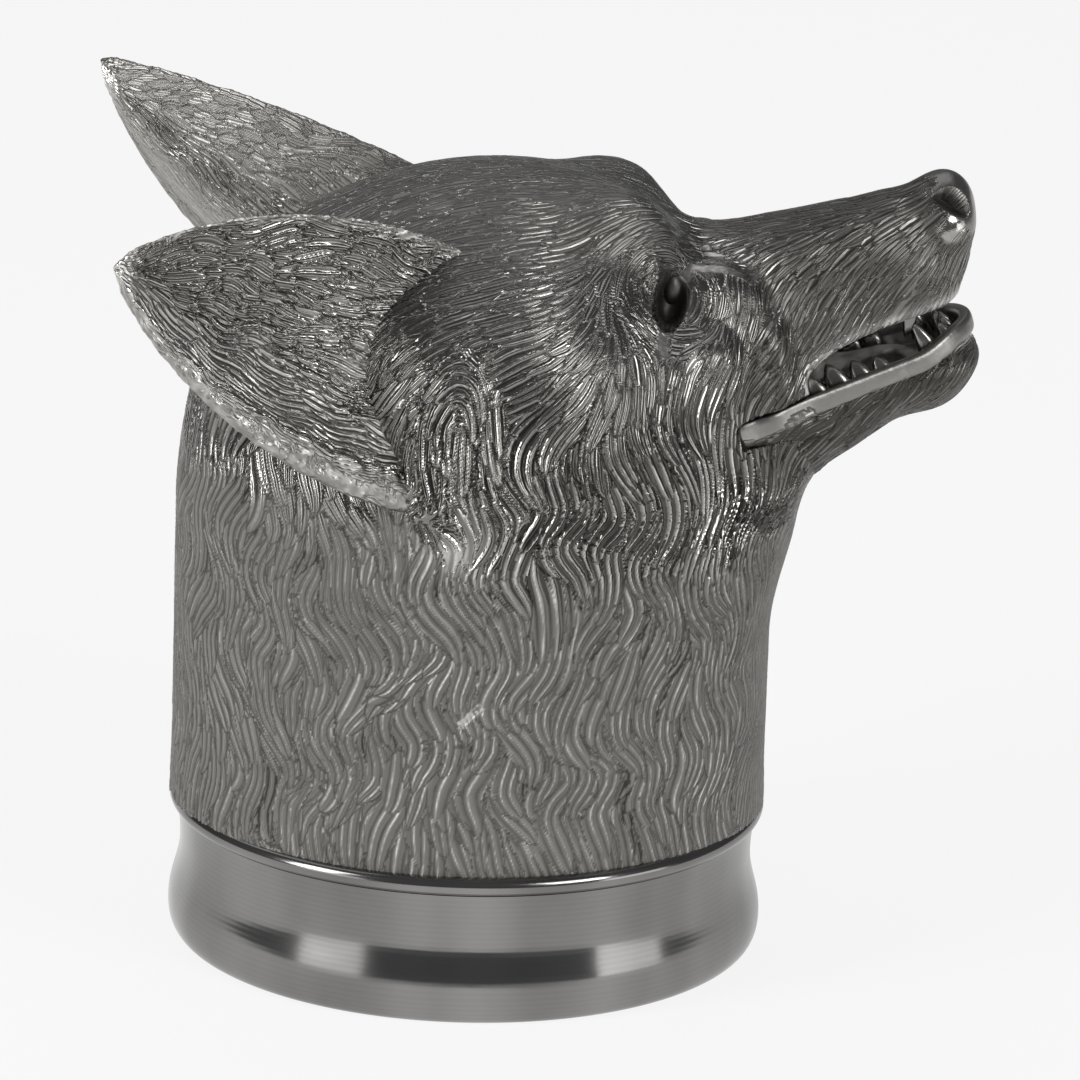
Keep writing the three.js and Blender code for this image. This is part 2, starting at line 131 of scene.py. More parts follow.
def swing(way, normal, angle):
    # A direction turned about the normal by an angle in radians
    return unit(way * np.cos(angle)[..., None] + np.cross(normal, way) * np.sin(angle)[..., None])


print("stage 2: lock carving")

lockShape = Sizes(
    dome=0.1, tilt=0.16, level=0.7, point=0.7, bare=0.5, taper=0.35, skew=0.45, bend=0.22, straight=0.4,
    tipGrey=0.5, ends=7, grooveWidth=0.42, grooveGain=0.17, disorder=7, sliceHalf=0.58, mostCurl=0.5,
    lengths=(0.75, 1.3), widths=(0.8, 1.25), depths=(0.75, 1.2), grooves=(0.8, 1.25),
)
underShape = Sizes(width=0.8, length=0.55, sunk=0.2, darker=0.2, samples=8)
overSamples = 16
# Slices of like reach are laid together, in squares of that many columns and rows to each side
columnReaches = (0, 4, 8, 14, 40)
rowReaches = (0, 3, 6, 12, 24, 96)
rowLook = range(-10, 11, 2)


def slide(arc, v, c, way):
    # The row reached from row v by going that far along column c, in steps sized by the rows' local spacing
    def measure(v):
        low = np.clip(v.astype(int), 0, len(arc) - 2)
        gap = arc[low + 1, c] - arc[low, c] + 1e-6
        return arc[low, c] + (v - low) * gap, gap

    target = measure(v)[0] + way
    for _ in range(5):
        now, gap = measure(v)
        v = np.clip(v + (target - now) / gap, 0, len(arc) - 1)
    return v


def lockCoat(grid, normals, flow, seeds, seed, samples, upstream):
    # Locks of hair laid over a grid of points like tiles. Each is a leaf that follows the flow, narrows to
    # both ends and lies on those downstream. Skewed grooves run along it, on a low dome rising to the tip.
    # The first pass settles which leaf lies on top, and the second carves.
    rng = np.random.default_rng(seed)
    rows, cols = grid.shape[:2]
    stepU = unit(np.roll(grid, -1, axis=1) - np.roll(grid, 1, axis=1))
    sizeU = np.linalg.norm(np.roll(grid, -1, axis=1) - grid, axis=-1) + 1e-4
    sizeV = np.linalg.norm(np.gradient(grid, axis=0), axis=-1) + 1e-4
    stepV = unit(np.gradient(grid, axis=0))
    arc = np.cumsum(np.linalg.norm(np.diff(grid, axis=0, prepend=grid[:1]), axis=-1), axis=0)
    nearRows = np.clip(np.arange(rows)[:, None] + np.array(rowLook), 0, rows - 1)
    tightV = sizeV[nearRows].min(1)
    row, col, width, length, depth = seeds
    count = len(row)
    rank = np.empty(count, int)
    rank[np.argsort(upstream * row + rng.normal(0, lockShape.disorder, count))] = np.arange(1, count + 1)
    spot = grid.reshape(-1, 3)
    length = length * rng.uniform(*lockShape.lengths, count)
    width = width * rng.uniform(*lockShape.widths, count)
    depth = depth * rng.uniform(*lockShape.depths, count)
    lines = width / (lockShape.grooveWidth + lockShape.grooveGain * width)
    lines = np.maximum(1, np.rint(lines * rng.uniform(*lockShape.grooves, count)))
    bend = rng.normal(0, lockShape.bend, count)
    owner = np.zeros(rows * cols, int)
    trough = np.full(rows * cols, lockShape.bare)
    height = np.zeros(rows * cols)
    across = np.zeros(rows * cols)
    for laying in (True, False):
        u, v = col.astype(float), row.astype(float)
        for k in range(samples):
            r = np.clip(np.rint(v).astype(int), 0, rows - 1)
            c = np.rint(u).astype(int) % cols
            n = normals[r, c]
            along = swing(flow[r, c], n, bend * (k / samples - lockShape.straight))
            aside = np.cross(n, along)
            share = (k + 0.5) / samples
            step = length / samples
            curl = 0 * step if k == 0 else np.einsum("ij,ij->i", along - before, aside) / step
            curl = np.clip(curl, -lockShape.mostCurl, lockShape.mostCurl)
            before = along
            here = grid[r, c] + stepU[r, c] * ((u - np.rint(u)) * sizeU[r, c])[:, None]
            here = here + stepV[r, c] * ((v - np.rint(v)) * sizeV[r, c])[:, None]
            half = 0.5 * width * (4 * share * (1 - share)) ** lockShape.point + 0.6 * step
            reachC = np.minimum(np.ceil(half / sizeU[r, c]).astype(int), columnReaches[-1])
            reachR = np.minimum(np.ceil(half / tightV[r, c]).astype(int), rowReaches[-1])
            for (lowC, limitC), (lowR, limitR) in product(pairwise(columnReaches), pairwise(rowReaches)):
                chosen = (reachC > lowC) & (reachC <= limitC) & (reachR > lowR) & (reachR <= limitR)
                chosen = np.flatnonzero(chosen)
                if len(chosen) == 0:
                    continue
                dr, dc = np.mgrid[-limitR:limitR + 1, -limitC:limitC + 1]
                rr = r[chosen, None] + dr.ravel()
                cc = (c[chosen, None] + dc.ravel()) % cols
                inside = (rr >= 0) & (rr < rows)
                index = np.where(inside, rr * cols + cc, 0)
                off = spot[index] - here[chosen, None, :]
                l = np.einsum("ijk,ik->ij", off, along[chosen])
                w = np.einsum("ijk,ik->ij", off, aside[chosen]) - 0.5 * curl[chosen, None] * l * l
                place = np.clip(share + l / length[chosen, None], 0, 1)
                leaf = 0.5 * width[chosen, None] * (4 * place * (1 - place)) ** lockShape.point + 1e-6
                q = w / leaf
                inside &= (np.abs(l) < lockShape.sliceHalf * step[chosen, None]) & (np.abs(q) < 1)
                if laying:
                    ranks = np.broadcast_to(rank[chosen, None], index.shape)
                    np.maximum.at(owner, index[inside], ranks[inside])
                    continue
                inside &= owner[index] == rank[chosen, None]
                taper = (2 * leaf / width[chosen, None]) ** (1 - lockShape.taper)
                band = (q * taper + 1) / 2 * lines[chosen, None]
                t = 2 * (band % 1) - 1
                fade = np.clip(lockShape.ends * place * (1 - place), 0, 1)
                hollow = (1 - t * t) * (1 + lockShape.skew * t)
                lift = lockShape.dome * (1 - q * q) + lockShape.tilt * (place - lockShape.level)
                value = depth[chosen, None] * (lift - hollow * fade)
                height[index[inside]] = value[inside]
                trough[index[inside]] = np.maximum(hollow, lockShape.tipGrey * (1 - fade))[inside]
                across[index[inside]] = band[inside]
            move = along * step[:, None]
            uu, vv = stepU[r, c], stepV[r, c]
            dot = np.einsum("ij,ij->i", uu, vv)
            mu, mv = np.einsum("ij,ij->i", move, uu), np.einsum("ij,ij->i", move, vv)
            det = np.maximum(1 - dot**2, 0.05)
            u = u + (mu - dot * mv) / det / sizeU[r, c]
            v = slide(arc, v, c, (mv - dot * mu) / det)
    return [a.reshape(rows, cols) for a in (height, trough, across, owner)]


def twoCoats(grid, normals, flow, style, cover, keep, seed, upstream=1):
    # A coat of locks over an undercoat of shorter ones, which shows only where the locks part
    width, length, depth = style
    small = (width * underShape.width, length * underShape.length, depth)
    seeds = scatter(grid, cover, seed, small, keep)
    under = lockCoat(grid, normals, flow, seeds, seed + 1, underShape.samples, upstream)
    under[0] = under[0] - underShape.sunk * depth
    under[1] = under[1] + underShape.darker
    seeds = scatter(grid, cover, seed + 2, style, keep)
    print("locks", len(seeds[0]))
    over = lockCoat(grid, normals, flow, seeds, seed + 3, overSamples, upstream)
    return [np.where(over[3] > 0, a, b) for a, b in zip(over[:3], under[:3])]


goldenShare = 0.6180339887
leafFill = 0.78  # the part of its own length times width that a lock covers


def scatter(grid, cover, seed, style, keep):
    # Even places, as many as cover the kept area that many times over at the local size of a lock: rows by
    # their share of the area, columns by steps of the golden section
    rng = np.random.default_rng(seed)
    rows, cols = grid.shape[:2]
    area = np.linalg.norm(np.cross(np.roll(grid, -1, axis=1) - grid, np.gradient(grid, axis=0)), axis=-1)
    width, length, depth = (np.broadcast_to(x, (rows, cols)) for x in style)
    want = area * keep * cover / (leafFill * width * length)
    most = want.max(1) * cols
    total = np.cumsum(most)
    count = int(total[-1])
    order = np.arange(count)
    row = np.minimum(np.searchsorted(total, order + rng.uniform(0, 1, count)), rows - 1)
    col = np.floor((order * goldenShare + rng.uniform(0, 0.002, count)) % 1 * cols).astype(int)
    fits = rng.uniform(0, 1, count) < want[row, col] * cols / most[row]
    row, col = row[fits], col[fits]
    return row, col, width[row, col], length[row, col], depth[row, col]


print("stage 3: head")

eyeCentre = (14.7, 10.9, 12.1)
# Rounded masses of the head: centre from the neck's top, radii, pitch, yaw, and the width of the join.
# The muzzle's centres are along, beside and above its own line. Pits have a centre, radii and a pitch.
headForm = {
    "neckRadius": 24.45,
    "neckSideFlat": 0.85,
    "neckShoulder": 9.0,
    "skull": [
        ((-2.45, 0, 0.8), (20.8, 18.9, 18.2), 0, 0, 4),
        ((3.6, 0, 11.8), (13.6, 11.5, 7.9), 2, 0, 4),
        ((4.6, 11.6, 2.5), (14.2, 9.6, 11.3), 0, -20, 5),
        ((4.4, 14.4, -3.2), (13.6, 8.8, 8.6), 0, -14, 3),
        ((16.6, 0, -6), (9, 9.5, 9), 20, 0, 6),
        ((16.8, 6.2, 5.2), (10, 5.6, 6.4), 8, -24, 5),
    ],
    "muzzleStart": (20.0, 10.1),
    "muzzlePitch": 13.0,
    "muzzleJoin": 4,
    "nose": (15.5, 0, 0.2),
    "nosePad": ((19.3, 0, 3.2), (3.0, 3.6, 3.1)),
    "muzzle": [
        ((6.4, 0, -1), (13, 6.9, 5.3), 13, 0, 4),
        ((12.2, 0, 0.1), (6.0, 5, 4.35), 13, 0, 2.5),
        ((7.8, 4.4, -3.8), (9, 2.3, 3), 17, -9, 2),
        ((5, 0, 0.9), (13.0, 4.1, 3.5), 5, 0, 3),
        ((15.9, 0, 1.75), (4.3, 3.3, 3.0), 0, 0, 2),
        ((18.6, 0, 3.5), (2.1, 2.8, 2.3), 0, 0, 2.5),
    ],
    "face": [
        ((10.6, 6, 14.4), (4.8, 4.2, 4.6), -18, 0, 3),
        ((18.4, 7.4, 9.6), (3.5, 2.9, 4.2), 0, -12, 1.6),
        ((13.2, 10.5, 12.6), (0.9, 1.6, 2.6), 0, 0, 0.7),
        ((16.9, 11.7, 7.2), (3.0, 1.7, 1.9), 0, -25, 1.4),
        ((22.7, 8.6, 4.9), (1.9, 2.1, 4.2), 0, -15, 1.4),
        ((37.4, 2.0, 15.9), (1.7, 1.6, 1.6), 0, 0, 1.6),
    ],
    "wingPad": (1.5, 2.5, 1.4),
    "socket": (eyeCentre, (1.15, 1.75, 2.2), -14),
    "nostril": ((37.4, 2.9, 17.75), (1.5, 1.2, 0.3), -28),
    "gape": ((33.0, 0, 6.3), (8.6, 14, 2.3), 18),
}

jawForm = Sizes(
    root=(17.0, -2.5), pitch=18.0, middle=15.6,
    masses=[
        ((13.5, 0, 0.8), (11.2, 6.8, 3.8), 0, 0, 3),
        ((20.3, 0, 1.0), (3.3, 3.7, 4.0), 0, 0, 3),
        ((8.2, 0, 0.0), (7.3, 8.2, 4.7), 6, 0, 4),
    ],
    join=4.0, lipWide=0.55, lipTall=0.82, lipLevel=1.75, lipBack=3.8, lipSquare=0.65, underLip=0.45,
    floor=0.6, tongue=1.7, backEnd=18.5, backRise=0.9, backRiseAt=(19.5, 24.0), reachLevel=43, sunk=0.6,
    sunkAt=(26.8, 24.2), lipDrawnAt=(26.0, 25.0), rough=0.03,
    bottomGap=0.03, underLipAt=(-0.3, 0), lipSeat=0.15, wallIn=0.35, floorEnd=0.97, tongueAt=(0.2, 0.75),
    furEnd=(-0.09, -0.02), chin=(34, 26), rayLength=22.0, joint=0.5,
    furLies=(-0.75, 0, -0.65), cover=3.5, columns=460, skinRows=128, lipRows=34, wallRows=10, floorRows=26,
)


def onMuzzle(point):
    # A place along, beside and above the muzzle's own line
    pitch = math.radians(headForm["muzzlePitch"])
    x0, z0 = headForm["muzzleStart"]
    along, aside, above = point
    x = x0 + along * math.cos(pitch) - above * math.sin(pitch)
    return rise((x, aside, z0 + along * math.sin(pitch) + above * math.cos(pitch)))


def rise(point):
    return (point[0], point[1], point[2] + headBase)


def mirrored(p):
    return spread(p[..., 0], np.abs(p[..., 1]), p[..., 2])


def joinMasses(d, p, masses, placed):
    # Rounded masses joined one after another, on to the distance d where there is one
    for centre, radii, pitch, yaw, width in masses:
        part = pebble(p, placed(centre), radii, pitch, yaw)
        d = part if d is None else merge(d, part, width)
    return d


def bareHead(p):
    # Neck wall and the rounded masses, the same on both sides
    p = mirrored(p)
    radius = headForm["neckRadius"]
    side = radius - headForm["neckSideFlat"]
    wall = (np.hypot(p[..., 0] / radius, p[..., 1] / side) - 1) * radius
    d = carve(wall, headBase - p[..., 2], headForm["neckShoulder"])
    d = joinMasses(d, p, headForm["skull"], rise)
    d = merge(d, joinMasses(None, p, headForm["muzzle"], onMuzzle), headForm["muzzleJoin"])
    return joinMasses(d, p, headForm["face"], rise)


def onJaw(p, back=False):
    # Between the head's frame and the lower jaw's own, which is tipped about its root
    pitch = math.radians(jawForm.pitch)
    c, s = math.cos(pitch), math.sin(pitch)
    x0, z0 = jawForm.root[0], headBase + jawForm.root[1]
    if back:
        x, z = x0 + c * p[..., 0] - s * p[..., 2], z0 + s * p[..., 0] + c * p[..., 2]
    else:
        x, z = c * (p[..., 0] - x0) + s * (p[..., 2] - z0), c * (p[..., 2] - z0) - s * (p[..., 0] - x0)
    return spread(x, p[..., 1], z)


def jawDistance(p):
    return joinMasses(None, onJaw(p), jawForm.masses, tuple)


def jawReach(whole, level):
    # How far forward a point lies, as the jaw's fur takes over from the head's: further above the lip
    ahead = whole[..., 0] + 0.5 * (whole[..., 2] - jawForm.reachLevel)
    return ahead + jawForm.lipBack * smoothstep(-0.6, 0.6, level)


def wholeHead(p):
    return merge(bareHead(p), jawDistance(p), jawForm.join)


def pitDistance(p, pit):
    # Distance to the socket, nostril or gape, the same on both sides
    centre, radii, pitch = headForm[pit]
    return pebble(mirrored(p), rise(centre), radii, pitch)


def cutHead(p):
    d = wholeHead(p)
    for pit, edge in (("socket", 0.4), ("nostril", 0.3), ("gape", 0.6)):
        d = carve(d, pitDistance(p, pit), edge)
    return d


# Each stretch has its rows and the share of a row left at its end
headGrid = Sizes(
    columns=1000, stretches=((124, 0), (256, 0), (76, 0), (48, 0.4)),
    neckBottom=12.7, pivot=(30.95, 37.0), fanRadii=(29.95, 19.0), fanEnd=107.0,
)


def headStations():
    # Section planes up the neck, round a pivot in front of the throat, along the muzzle and over the nose.
    # For each: its middle, the way its rays fan from, and how far they lean towards the nose.
    px, pz = headGrid.pivot
    wide, near = headGrid.fanRadii
    base = headGrid.neckBottom
    end = math.radians(headGrid.fanEnd)
    neck, fan, muzzle, nose = (np.arange(rows) / (rows - left) for rows, left in headGrid.stretches)
    turn = math.pi + (end - math.pi) * fan
    radius = wide + (near - wide) * fan**1.3
    startX, startZ = px + near * math.cos(end), pz + near * math.sin(end)
    noseX, _, noseZ = onMuzzle(headForm["nose"])
    x = [neck, px + radius * np.cos(turn), startX + (noseX - startX) * muzzle, noseX + 0 * nose]
    z = [base + (pz - base) * neck, pz + radius * np.sin(turn), startZ + (noseZ - startZ) * muzzle]
    z.append(noseZ + 0 * nose)
    angle = [math.pi + 0 * neck, turn, end + 0 * muzzle, end + 0 * nose]
    lean = [0 * neck, 0 * fan, 0 * muzzle, 0.5 * math.pi * nose]
    return (np.concatenate(a) for a in (x, z, angle, lean))


stationX, stationZ, stationAngle, stationLean = headStations()
turns = around(headGrid.columns)
sectionMiddle = spread(stationX, 0, stationZ)[:, None, :]
outward = spread(np.cos(stationAngle), 0, np.sin(stationAngle))
ahead = spread(np.sin(stationAngle), 0, -np.cos(stationAngle))
rayWay = outward[:, None, :] * (np.cos(turns)[None, :] * np.cos(stationLean)[:, None])[..., None]
rayWay[..., 1] -= np.sin(turns)[None, :] * np.cos(stationLean)[:, None]
rayWay += ahead[:, None, :] * np.sin(stationLean)[:, None, None]
head = castRays(cutHead, sectionMiddle, rayWay)
headNormal = gridNormals(head)
print("head grid", head.shape)

print("stage 4: fur on the head")

# Where the coat lies differently: place in the side view from the neck's top, way, reach and weight
furGuides = [
    ((10.3, 15.0), (-0.5, -0.85), 3.5, 1.0),
    ((5.4, 18.7), (-0.9, -0.45), 4.0, 1.0),
    ((0.5, 11.3), (-1.0, -0.12), 4.0, 1.6),
    ((7.0, 9.9), (-0.7, -0.7), 3.2, 1.4),
    ((5.0, 6.2), (-0.95, -0.3), 2.4, 1.4),
    ((7.5, 2.0), (-0.3, -0.95), 2.8, 1.6),
    ((3.8, -2.3), (0.0, -1.0), 4.0, 1.6),
    ((12.0, -1.0), (-0.1, -1.0), 4.0, 1.6),
    ((17.7, 0.8), (-0.2, -0.97), 3.5, 1.6),
    ((21.5, 4.6), (-0.45, -0.9), 3.0, 1.6),
    ((35.5, 13.5), (-0.6, -0.8), 3.0, 2.0),
    ((31.0, 11.5), (-0.6, -0.8), 3.4, 2.0),
    ((26.0, 9.0), (-0.5, -0.87), 3.0, 2.0),
    ((15.6, 6.0), (0.0, -1.0), 3.0, 1.4),
    ((-3.6, -6.5), (0.35, -0.94), 3.4, 1.6),
    ((-10.0, -7.0), (0.4, -0.92), 4.0, 1.0),
]
furForm = Sizes(
    pull=0.35, eyeClear=3.6, hook=(-2.6, 3.0), hookReach=3.4, hookTall=2.0, star=(-5.7, -3.2),
    starReach=1.8, cleaned=(-3.0, -5.6), cleanedReach=2.0,
    nick=(-1.3, -19.2), nickSize=(1.4, 0.42), nickFade=(0.3, 0.12), nickDeep=0.3,
    sway=0.52, wave=10.6, wander=3.5, wanderSize=14.0, stray=0.28, straySize=4.5, cover=4.2,
    down=(0, 0, -1.0), neckFade=(0, 7), muzzleWay=(-0.95, 0, -0.3), muzzleFade=(20, 26), side=(0.15, 0.5),
    hookEdge=(1.2, 0.85), hookLean=0.3, starPull=2, loose=(10, -4), looseLeast=0.15, eyeCalm=(9, 36),
    eyeLeast=0.2,
)
coarseForm = Sizes(level=(13, 4), side=(0.35, 0.75), onSide=0.45, muzzle=(25, 19), eye=(4, 9), eyeLeast=0.25)


def sideShare(normal, low, high):
    # 1 where the skin faces sideways, 0 on the crown and under the throat
    return smoothstep(low, high, np.abs(normal[..., 1]))


def spotShare(x, z, centre, reach):
    return np.exp(-((x - centre[0]) ** 2 + (z - centre[1]) ** 2) / (2 * reach**2))


def hookShare(x, z):
    # How far out a point is in the tall loop of hair before the ear, 1 at its reach
    cx, cz = furForm.hook
    return np.hypot(x - cx, (z - cz) / furForm.hookTall) / furForm.hookReach


def headFlow(p, normal):
    # The way the hair lies: down and back round the head, drawn by the guides, parted round the eye like
    # water round a post, turned over in a tall loop before the ear, spread from a star under it, and swaying
    x, z = p[..., 0], p[..., 2] - headBase
    px, pz = headGrid.pivot
    turned = spread(-(p[..., 2] - pz), 0, x - px)
    neck = smoothstep(*furForm.neckFade, pz - p[..., 2])[..., None]
    way = unit(turned) * (1 - neck) + np.array(furForm.down) * neck
    onMuzzleTop = smoothstep(*furForm.muzzleFade, x)[..., None]
    way = way * (1 - onMuzzleTop) + np.array(furForm.muzzleWay) * onMuzzleTop
    way = way * furForm.pull
    side = sideShare(normal, *furForm.side)
    for place, (wx, wz), reach, weight in furGuides:
        near = weight * side * spotShare(x, z, place, reach)
        way = way + near[..., None] * np.array([wx, 0, wz])
    cx, cz = furForm.hook
    tall = furForm.hookTall
    ring = unit(spread(np.maximum((z - cz) / tall, 0) / tall, 0, -(x - cx) - furForm.hookLean))
    near = (side * smoothstep(*furForm.hookEdge, hookShare(x, z)))[..., None]
    way = way * (1 - near) + ring * near
    star = furForm.star
    near = side * spotShare(x, z, star, furForm.starReach)
    way = way + furForm.starPull * near[..., None] * unit(spread(x - star[0], 0, z - star[1]))
    dx, dz = x - eyeCentre[0], z - eyeCentre[2]
    squared = dx**2 + dz**2 + 1e-6
    inward = (way[..., 0] * dx + way[..., 2] * dz) / squared
    post = np.minimum(furForm.eyeClear ** 2 / squared, 1) * side
    way = way + post[..., None] * (way - 2 * inward[..., None] * spread(dx, 0, dz))
    way = unit(way - normal * np.sum(way * normal, axis=-1, keepdims=True))
    least = furForm.looseLeast
    loose = smoothstep(*furForm.loose, z) * (1 - least) + least
    level = p[..., 2] + furForm.wander * waves(p, furForm.wanderSize, 11)
    angle = furForm.sway * np.sin(2 * math.pi * level / furForm.wave)
    angle = angle + furForm.stray * waves(p, furForm.straySize, 16)
    least = furForm.eyeLeast
    return swing(way, normal, angle * loose * (least + (1 - least) * smoothstep(*furForm.eyeCalm, squared)))


def turnRate(flow, p, gap=6):
    # How fast the direction turns per millimetre, along the rows and the columns, over that many to each side
    rows = np.arange(len(p))
    late, early = np.minimum(rows + gap, len(p) - 1), np.maximum(rows - gap, 0)
    pairs = [[np.roll(a, -gap, axis=1) - np.roll(a, gap, axis=1) for a in (flow, p)]]
    pairs.append([a[late] - a[early] for a in (flow, p)])
    return np.maximum.reduce([
        np.linalg.norm(turn, axis=-1) / (np.linalg.norm(way, axis=-1) + 0.3) for turn, way in pairs
    ])


headX, above = head[..., 0], head[..., 2] - headBase
nearSide = head[..., 1] < 0
fromEye = np.hypot(headX - eyeCentre[0], above - eyeCentre[2])
flow = headFlow(head, headNormal)
# How coarse the fur is: 0 fine over the muzzle, brow and crown, 1 deep on the cheeks and neck
coarse = coarseForm.onSide * sideShare(headNormal, *coarseForm.side)
coarse = np.maximum(smoothstep(*coarseForm.level, above), coarse) * smoothstep(*coarseForm.muzzle, headX)
least = coarseForm.eyeLeast
coarse = coarse * (least + (1 - least) * smoothstep(*coarseForm.eye, fromEye))

print("stage 5: bare places and marks on the head")

# From where to where each zone fades in: distances from a pit, pad or eye, rates of turning, shares of the
# hook, or places along, up or across the head
zones = Sizes(
    pad=(0.35, -0.1), nostril=(0.2, 0.03), wing=(0.3, -0.1), lip=(1.5, 0.6), socket=(0.7, 0.1),
    cut=(-0.1, -0.4), turning=(0.45, 0.9), nearEye=(7.5, 5.5), loop=(1.7, 0.9), cheekFoot=(-12, -8),
    cheekTop=(7, 2), cheekBack=(-9, -4), cheekSide=(0.3, 0.6), frost=(1.5, -1.5), crownFoot=(13, 17),
    crownFront=(20, 14), muzzle=(19, 26), socketWall=(2.6, 1.4), nostrilWall=(1.5, 0.8),
    frostBack=(-2, -8),
)
padPlace, padRadii = headForm["nosePad"]
nosePad = pebble(mirrored(head), onMuzzle(padPlace), padRadii)
smoothNose = smoothstep(*zones.pad, nosePad + 0.3 * waves(head, 1.5, 13))
nostrilBand = smoothstep(*zones.nostril, pitDistance(head, "nostril"))
wingPad = pebble(mirrored(head), rise(headForm["face"][-1][0]), headForm["wingPad"])
wing = smoothstep(*zones.wing, wingPad)
smoothNose = np.maximum(smoothNose, wing)
lipBand = smoothstep(*zones.lip, pitDistance(head, "gape"))
socketBand = smoothstep(*zones.socket, pitDistance(head, "socket"))
cutFace = smoothstep(*zones.cut, wholeHead(head))
calm = smoothstep(*zones.turning, turnRate(flow, head)) * smoothstep(*zones.nearEye, fromEye)
furry = (1 - smoothNose) * (1 - lipBand) * (1 - socketBand) * (1 - cutFace) * (1 - 0.7 * calm)
loop = smoothstep(*zones.loop, hookShare(headX, above))
cheek = smoothstep(*zones.cheekFoot, above) * smoothstep(*zones.cheekTop, above)
cheek = cheek * smoothstep(*zones.cheekBack, headX)
cheek = cheek * sideShare(headNormal, *zones.cheekSide)
frostLine = Sizes(level=-8.5, backRise=5.0, wander=1.2, spacing=5.0)
frostEdge = frostLine.level + frostLine.backRise * smoothstep(*zones.frostBack, headX)
frostEdge = frostEdge + frostLine.wander * waves(head, frostLine.spacing, 17)
frostNeck = smoothstep(*zones.frost, above - frostEdge)
crown = smoothstep(*zones.crownFoot, above) * smoothstep(*zones.crownFront, headX)
muzzleSide = smoothstep(*zones.muzzle, headX)

# Width, length and depth of a lock: where fine, how much more where coarse and in the cheek band, and the
# shares that it loses in the loop and over the frosted neck
lockSizes = ((0.85, 1.5, 0, 0.35, 0), (3.0, 3.9, 1.2, 0.3, 0), (0.055, 0.085, 0.13, 0, 0.3))
lockStyle = [
    (fine + more * coarse + onCheek * cheek) * (1 - inLoop * loop) * (1 - frosted * frostNeck)
    for fine, more, onCheek, inLoop, frosted in lockSizes
]
relief, trough, across = twoCoats(head, headNormal, flow, lockStyle, furForm.cover, furry > 0.1, 5)

# The patch that wear has cleaned, and the cut nick in the neck, are on the near side only
patch = spotShare(headX, above, furForm.cleaned, furForm.cleanedReach) * nearSide
nickX, nickZ = furForm.nick
nickLong, nickWide = furForm.nickSize
longFade, wideFade = furForm.nickFade
nickAlong = (headX - nickX + above - nickZ) * math.sqrt(0.5)
nickAcross = (headX - nickX - above + nickZ) * math.sqrt(0.5)
nick = smoothstep(nickLong, nickLong - longFade, np.abs(nickAlong)) * nearSide
nick = nick * smoothstep(nickWide, nickWide - wideFade, np.abs(nickAcross))
relief = relief * (1 - nick) - furForm.nickDeep * nick * (1 + nickAcross)
across = across * (1 - calm)
# Grooves are deeper and narrower in the cheek band, its crests widened pale as painted highlights and its
# channels darker as painted shade; painted shade darkens the muzzle and crown; lighter where worn or cut
darkened = Sizes(cheek=1.2, cheekNarrow=1.8, muzzle=0.7, crown=0.12, worn=0.8)
trough = trough + cheek * (darkened.cheek * np.abs(trough) ** darkened.cheekNarrow - trough)
trough = trough + darkened.muzzle * muzzleSide + darkened.crown * crown
trough = trough * (1 - darkened.worn * patch) * (1 - nick)
# Painted shade: the nostril's pit takes the full groove darkness
trough = np.maximum(trough, nostrilBand)

# The coat ends over the collar in a row of tufts, and its skin runs under the jaw piece behind the lip
tuftForm = Sizes(levels=(16.5, 12.7), swell=0.12, drop=0.75, ragged=0.4, spacing=2.6, radius=24)
underJaw = Sizes(
    levels=(2.9, 2.2), reach=(26.0, 27.4), reachBack=(-0.6, 0.6), sunk=0.45, drawnIn=0.7, drawnAt=(-0.4, 0.6),
)
tuftRow = smoothstep(*tuftForm.levels, head[..., 2])
headCoat = head + headNormal * (relief * furry)[..., None]
jawLevel = onJaw(head)[..., 2]
jawSide = jawReach(head, jawLevel) + smoothstep(*underJaw.reachBack, jawLevel)
jawSide = smoothstep(*underJaw.levels, jawLevel) * smoothstep(*underJaw.reach, jawSide)
headCoat = headCoat + headNormal * (tuftForm.swell * tuftRow - underJaw.sunk * jawSide)[..., None]
drawn = underJaw.drawnIn * jawSide * smoothstep(*underJaw.drawnAt, jawLevel)
headCoat[..., 1] -= drawn * np.clip(head[..., 1], -1, 1)
ragged = waves(spread(turns * tuftForm.radius, 0, 0), tuftForm.spacing, 12)
headCoat[..., 2] -= tuftRow * (tuftForm.drop + tuftForm.ragged * ragged)
coatNormal = gridNormals(headCoat)


def addObject(name, data):
    thing = bpy.data.objects.new(name, data)
    bpy.context.scene.collection.objects.link(thing)
    return thing


def makeMesh(name, points, faces, normals, marks, uv):
    # A smooth mesh with its marks and map; where normals is None Blender works them out
    mesh = bpy.data.meshes.new(name)
    mesh.from_pydata(((points + shift) / 1000).tolist(), [], faces)
    for markName, values in marks.items():
        layer = mesh.attributes.new(markName, "FLOAT", "POINT")
        layer.data.foreach_set("value", values.astype(np.float32).ravel())
    mesh.uv_layers.new(name="OFBake").data.foreach_set("uv", uv.astype(np.float32).ravel())
    mesh.polygons.foreach_set("use_smooth", np.ones(len(mesh.polygons), bool))
    if normals is not None:
        mesh.normals_split_custom_set_from_vertices(normals.tolist())
    return addObject(name, mesh)


def bandFaces(rows, cols, base=0):
    # Faces between the rows of a grid whose columns close on themselves and whose first point is base
    low = base + np.arange(rows - 1)[:, None] * cols
    a = np.arange(cols)
    b = (a + 1) % cols
    return np.stack([low + a, low + b, low + cols + b, low + cols + a], axis=-1).reshape(-1, 4)


def fanFaces(base, cols, tip):
    # Faces that close one row of a grid to a point
    j = np.arange(cols)
    return np.stack([base + j, base + (j + 1) % cols, 0 * j + tip], axis=-1)


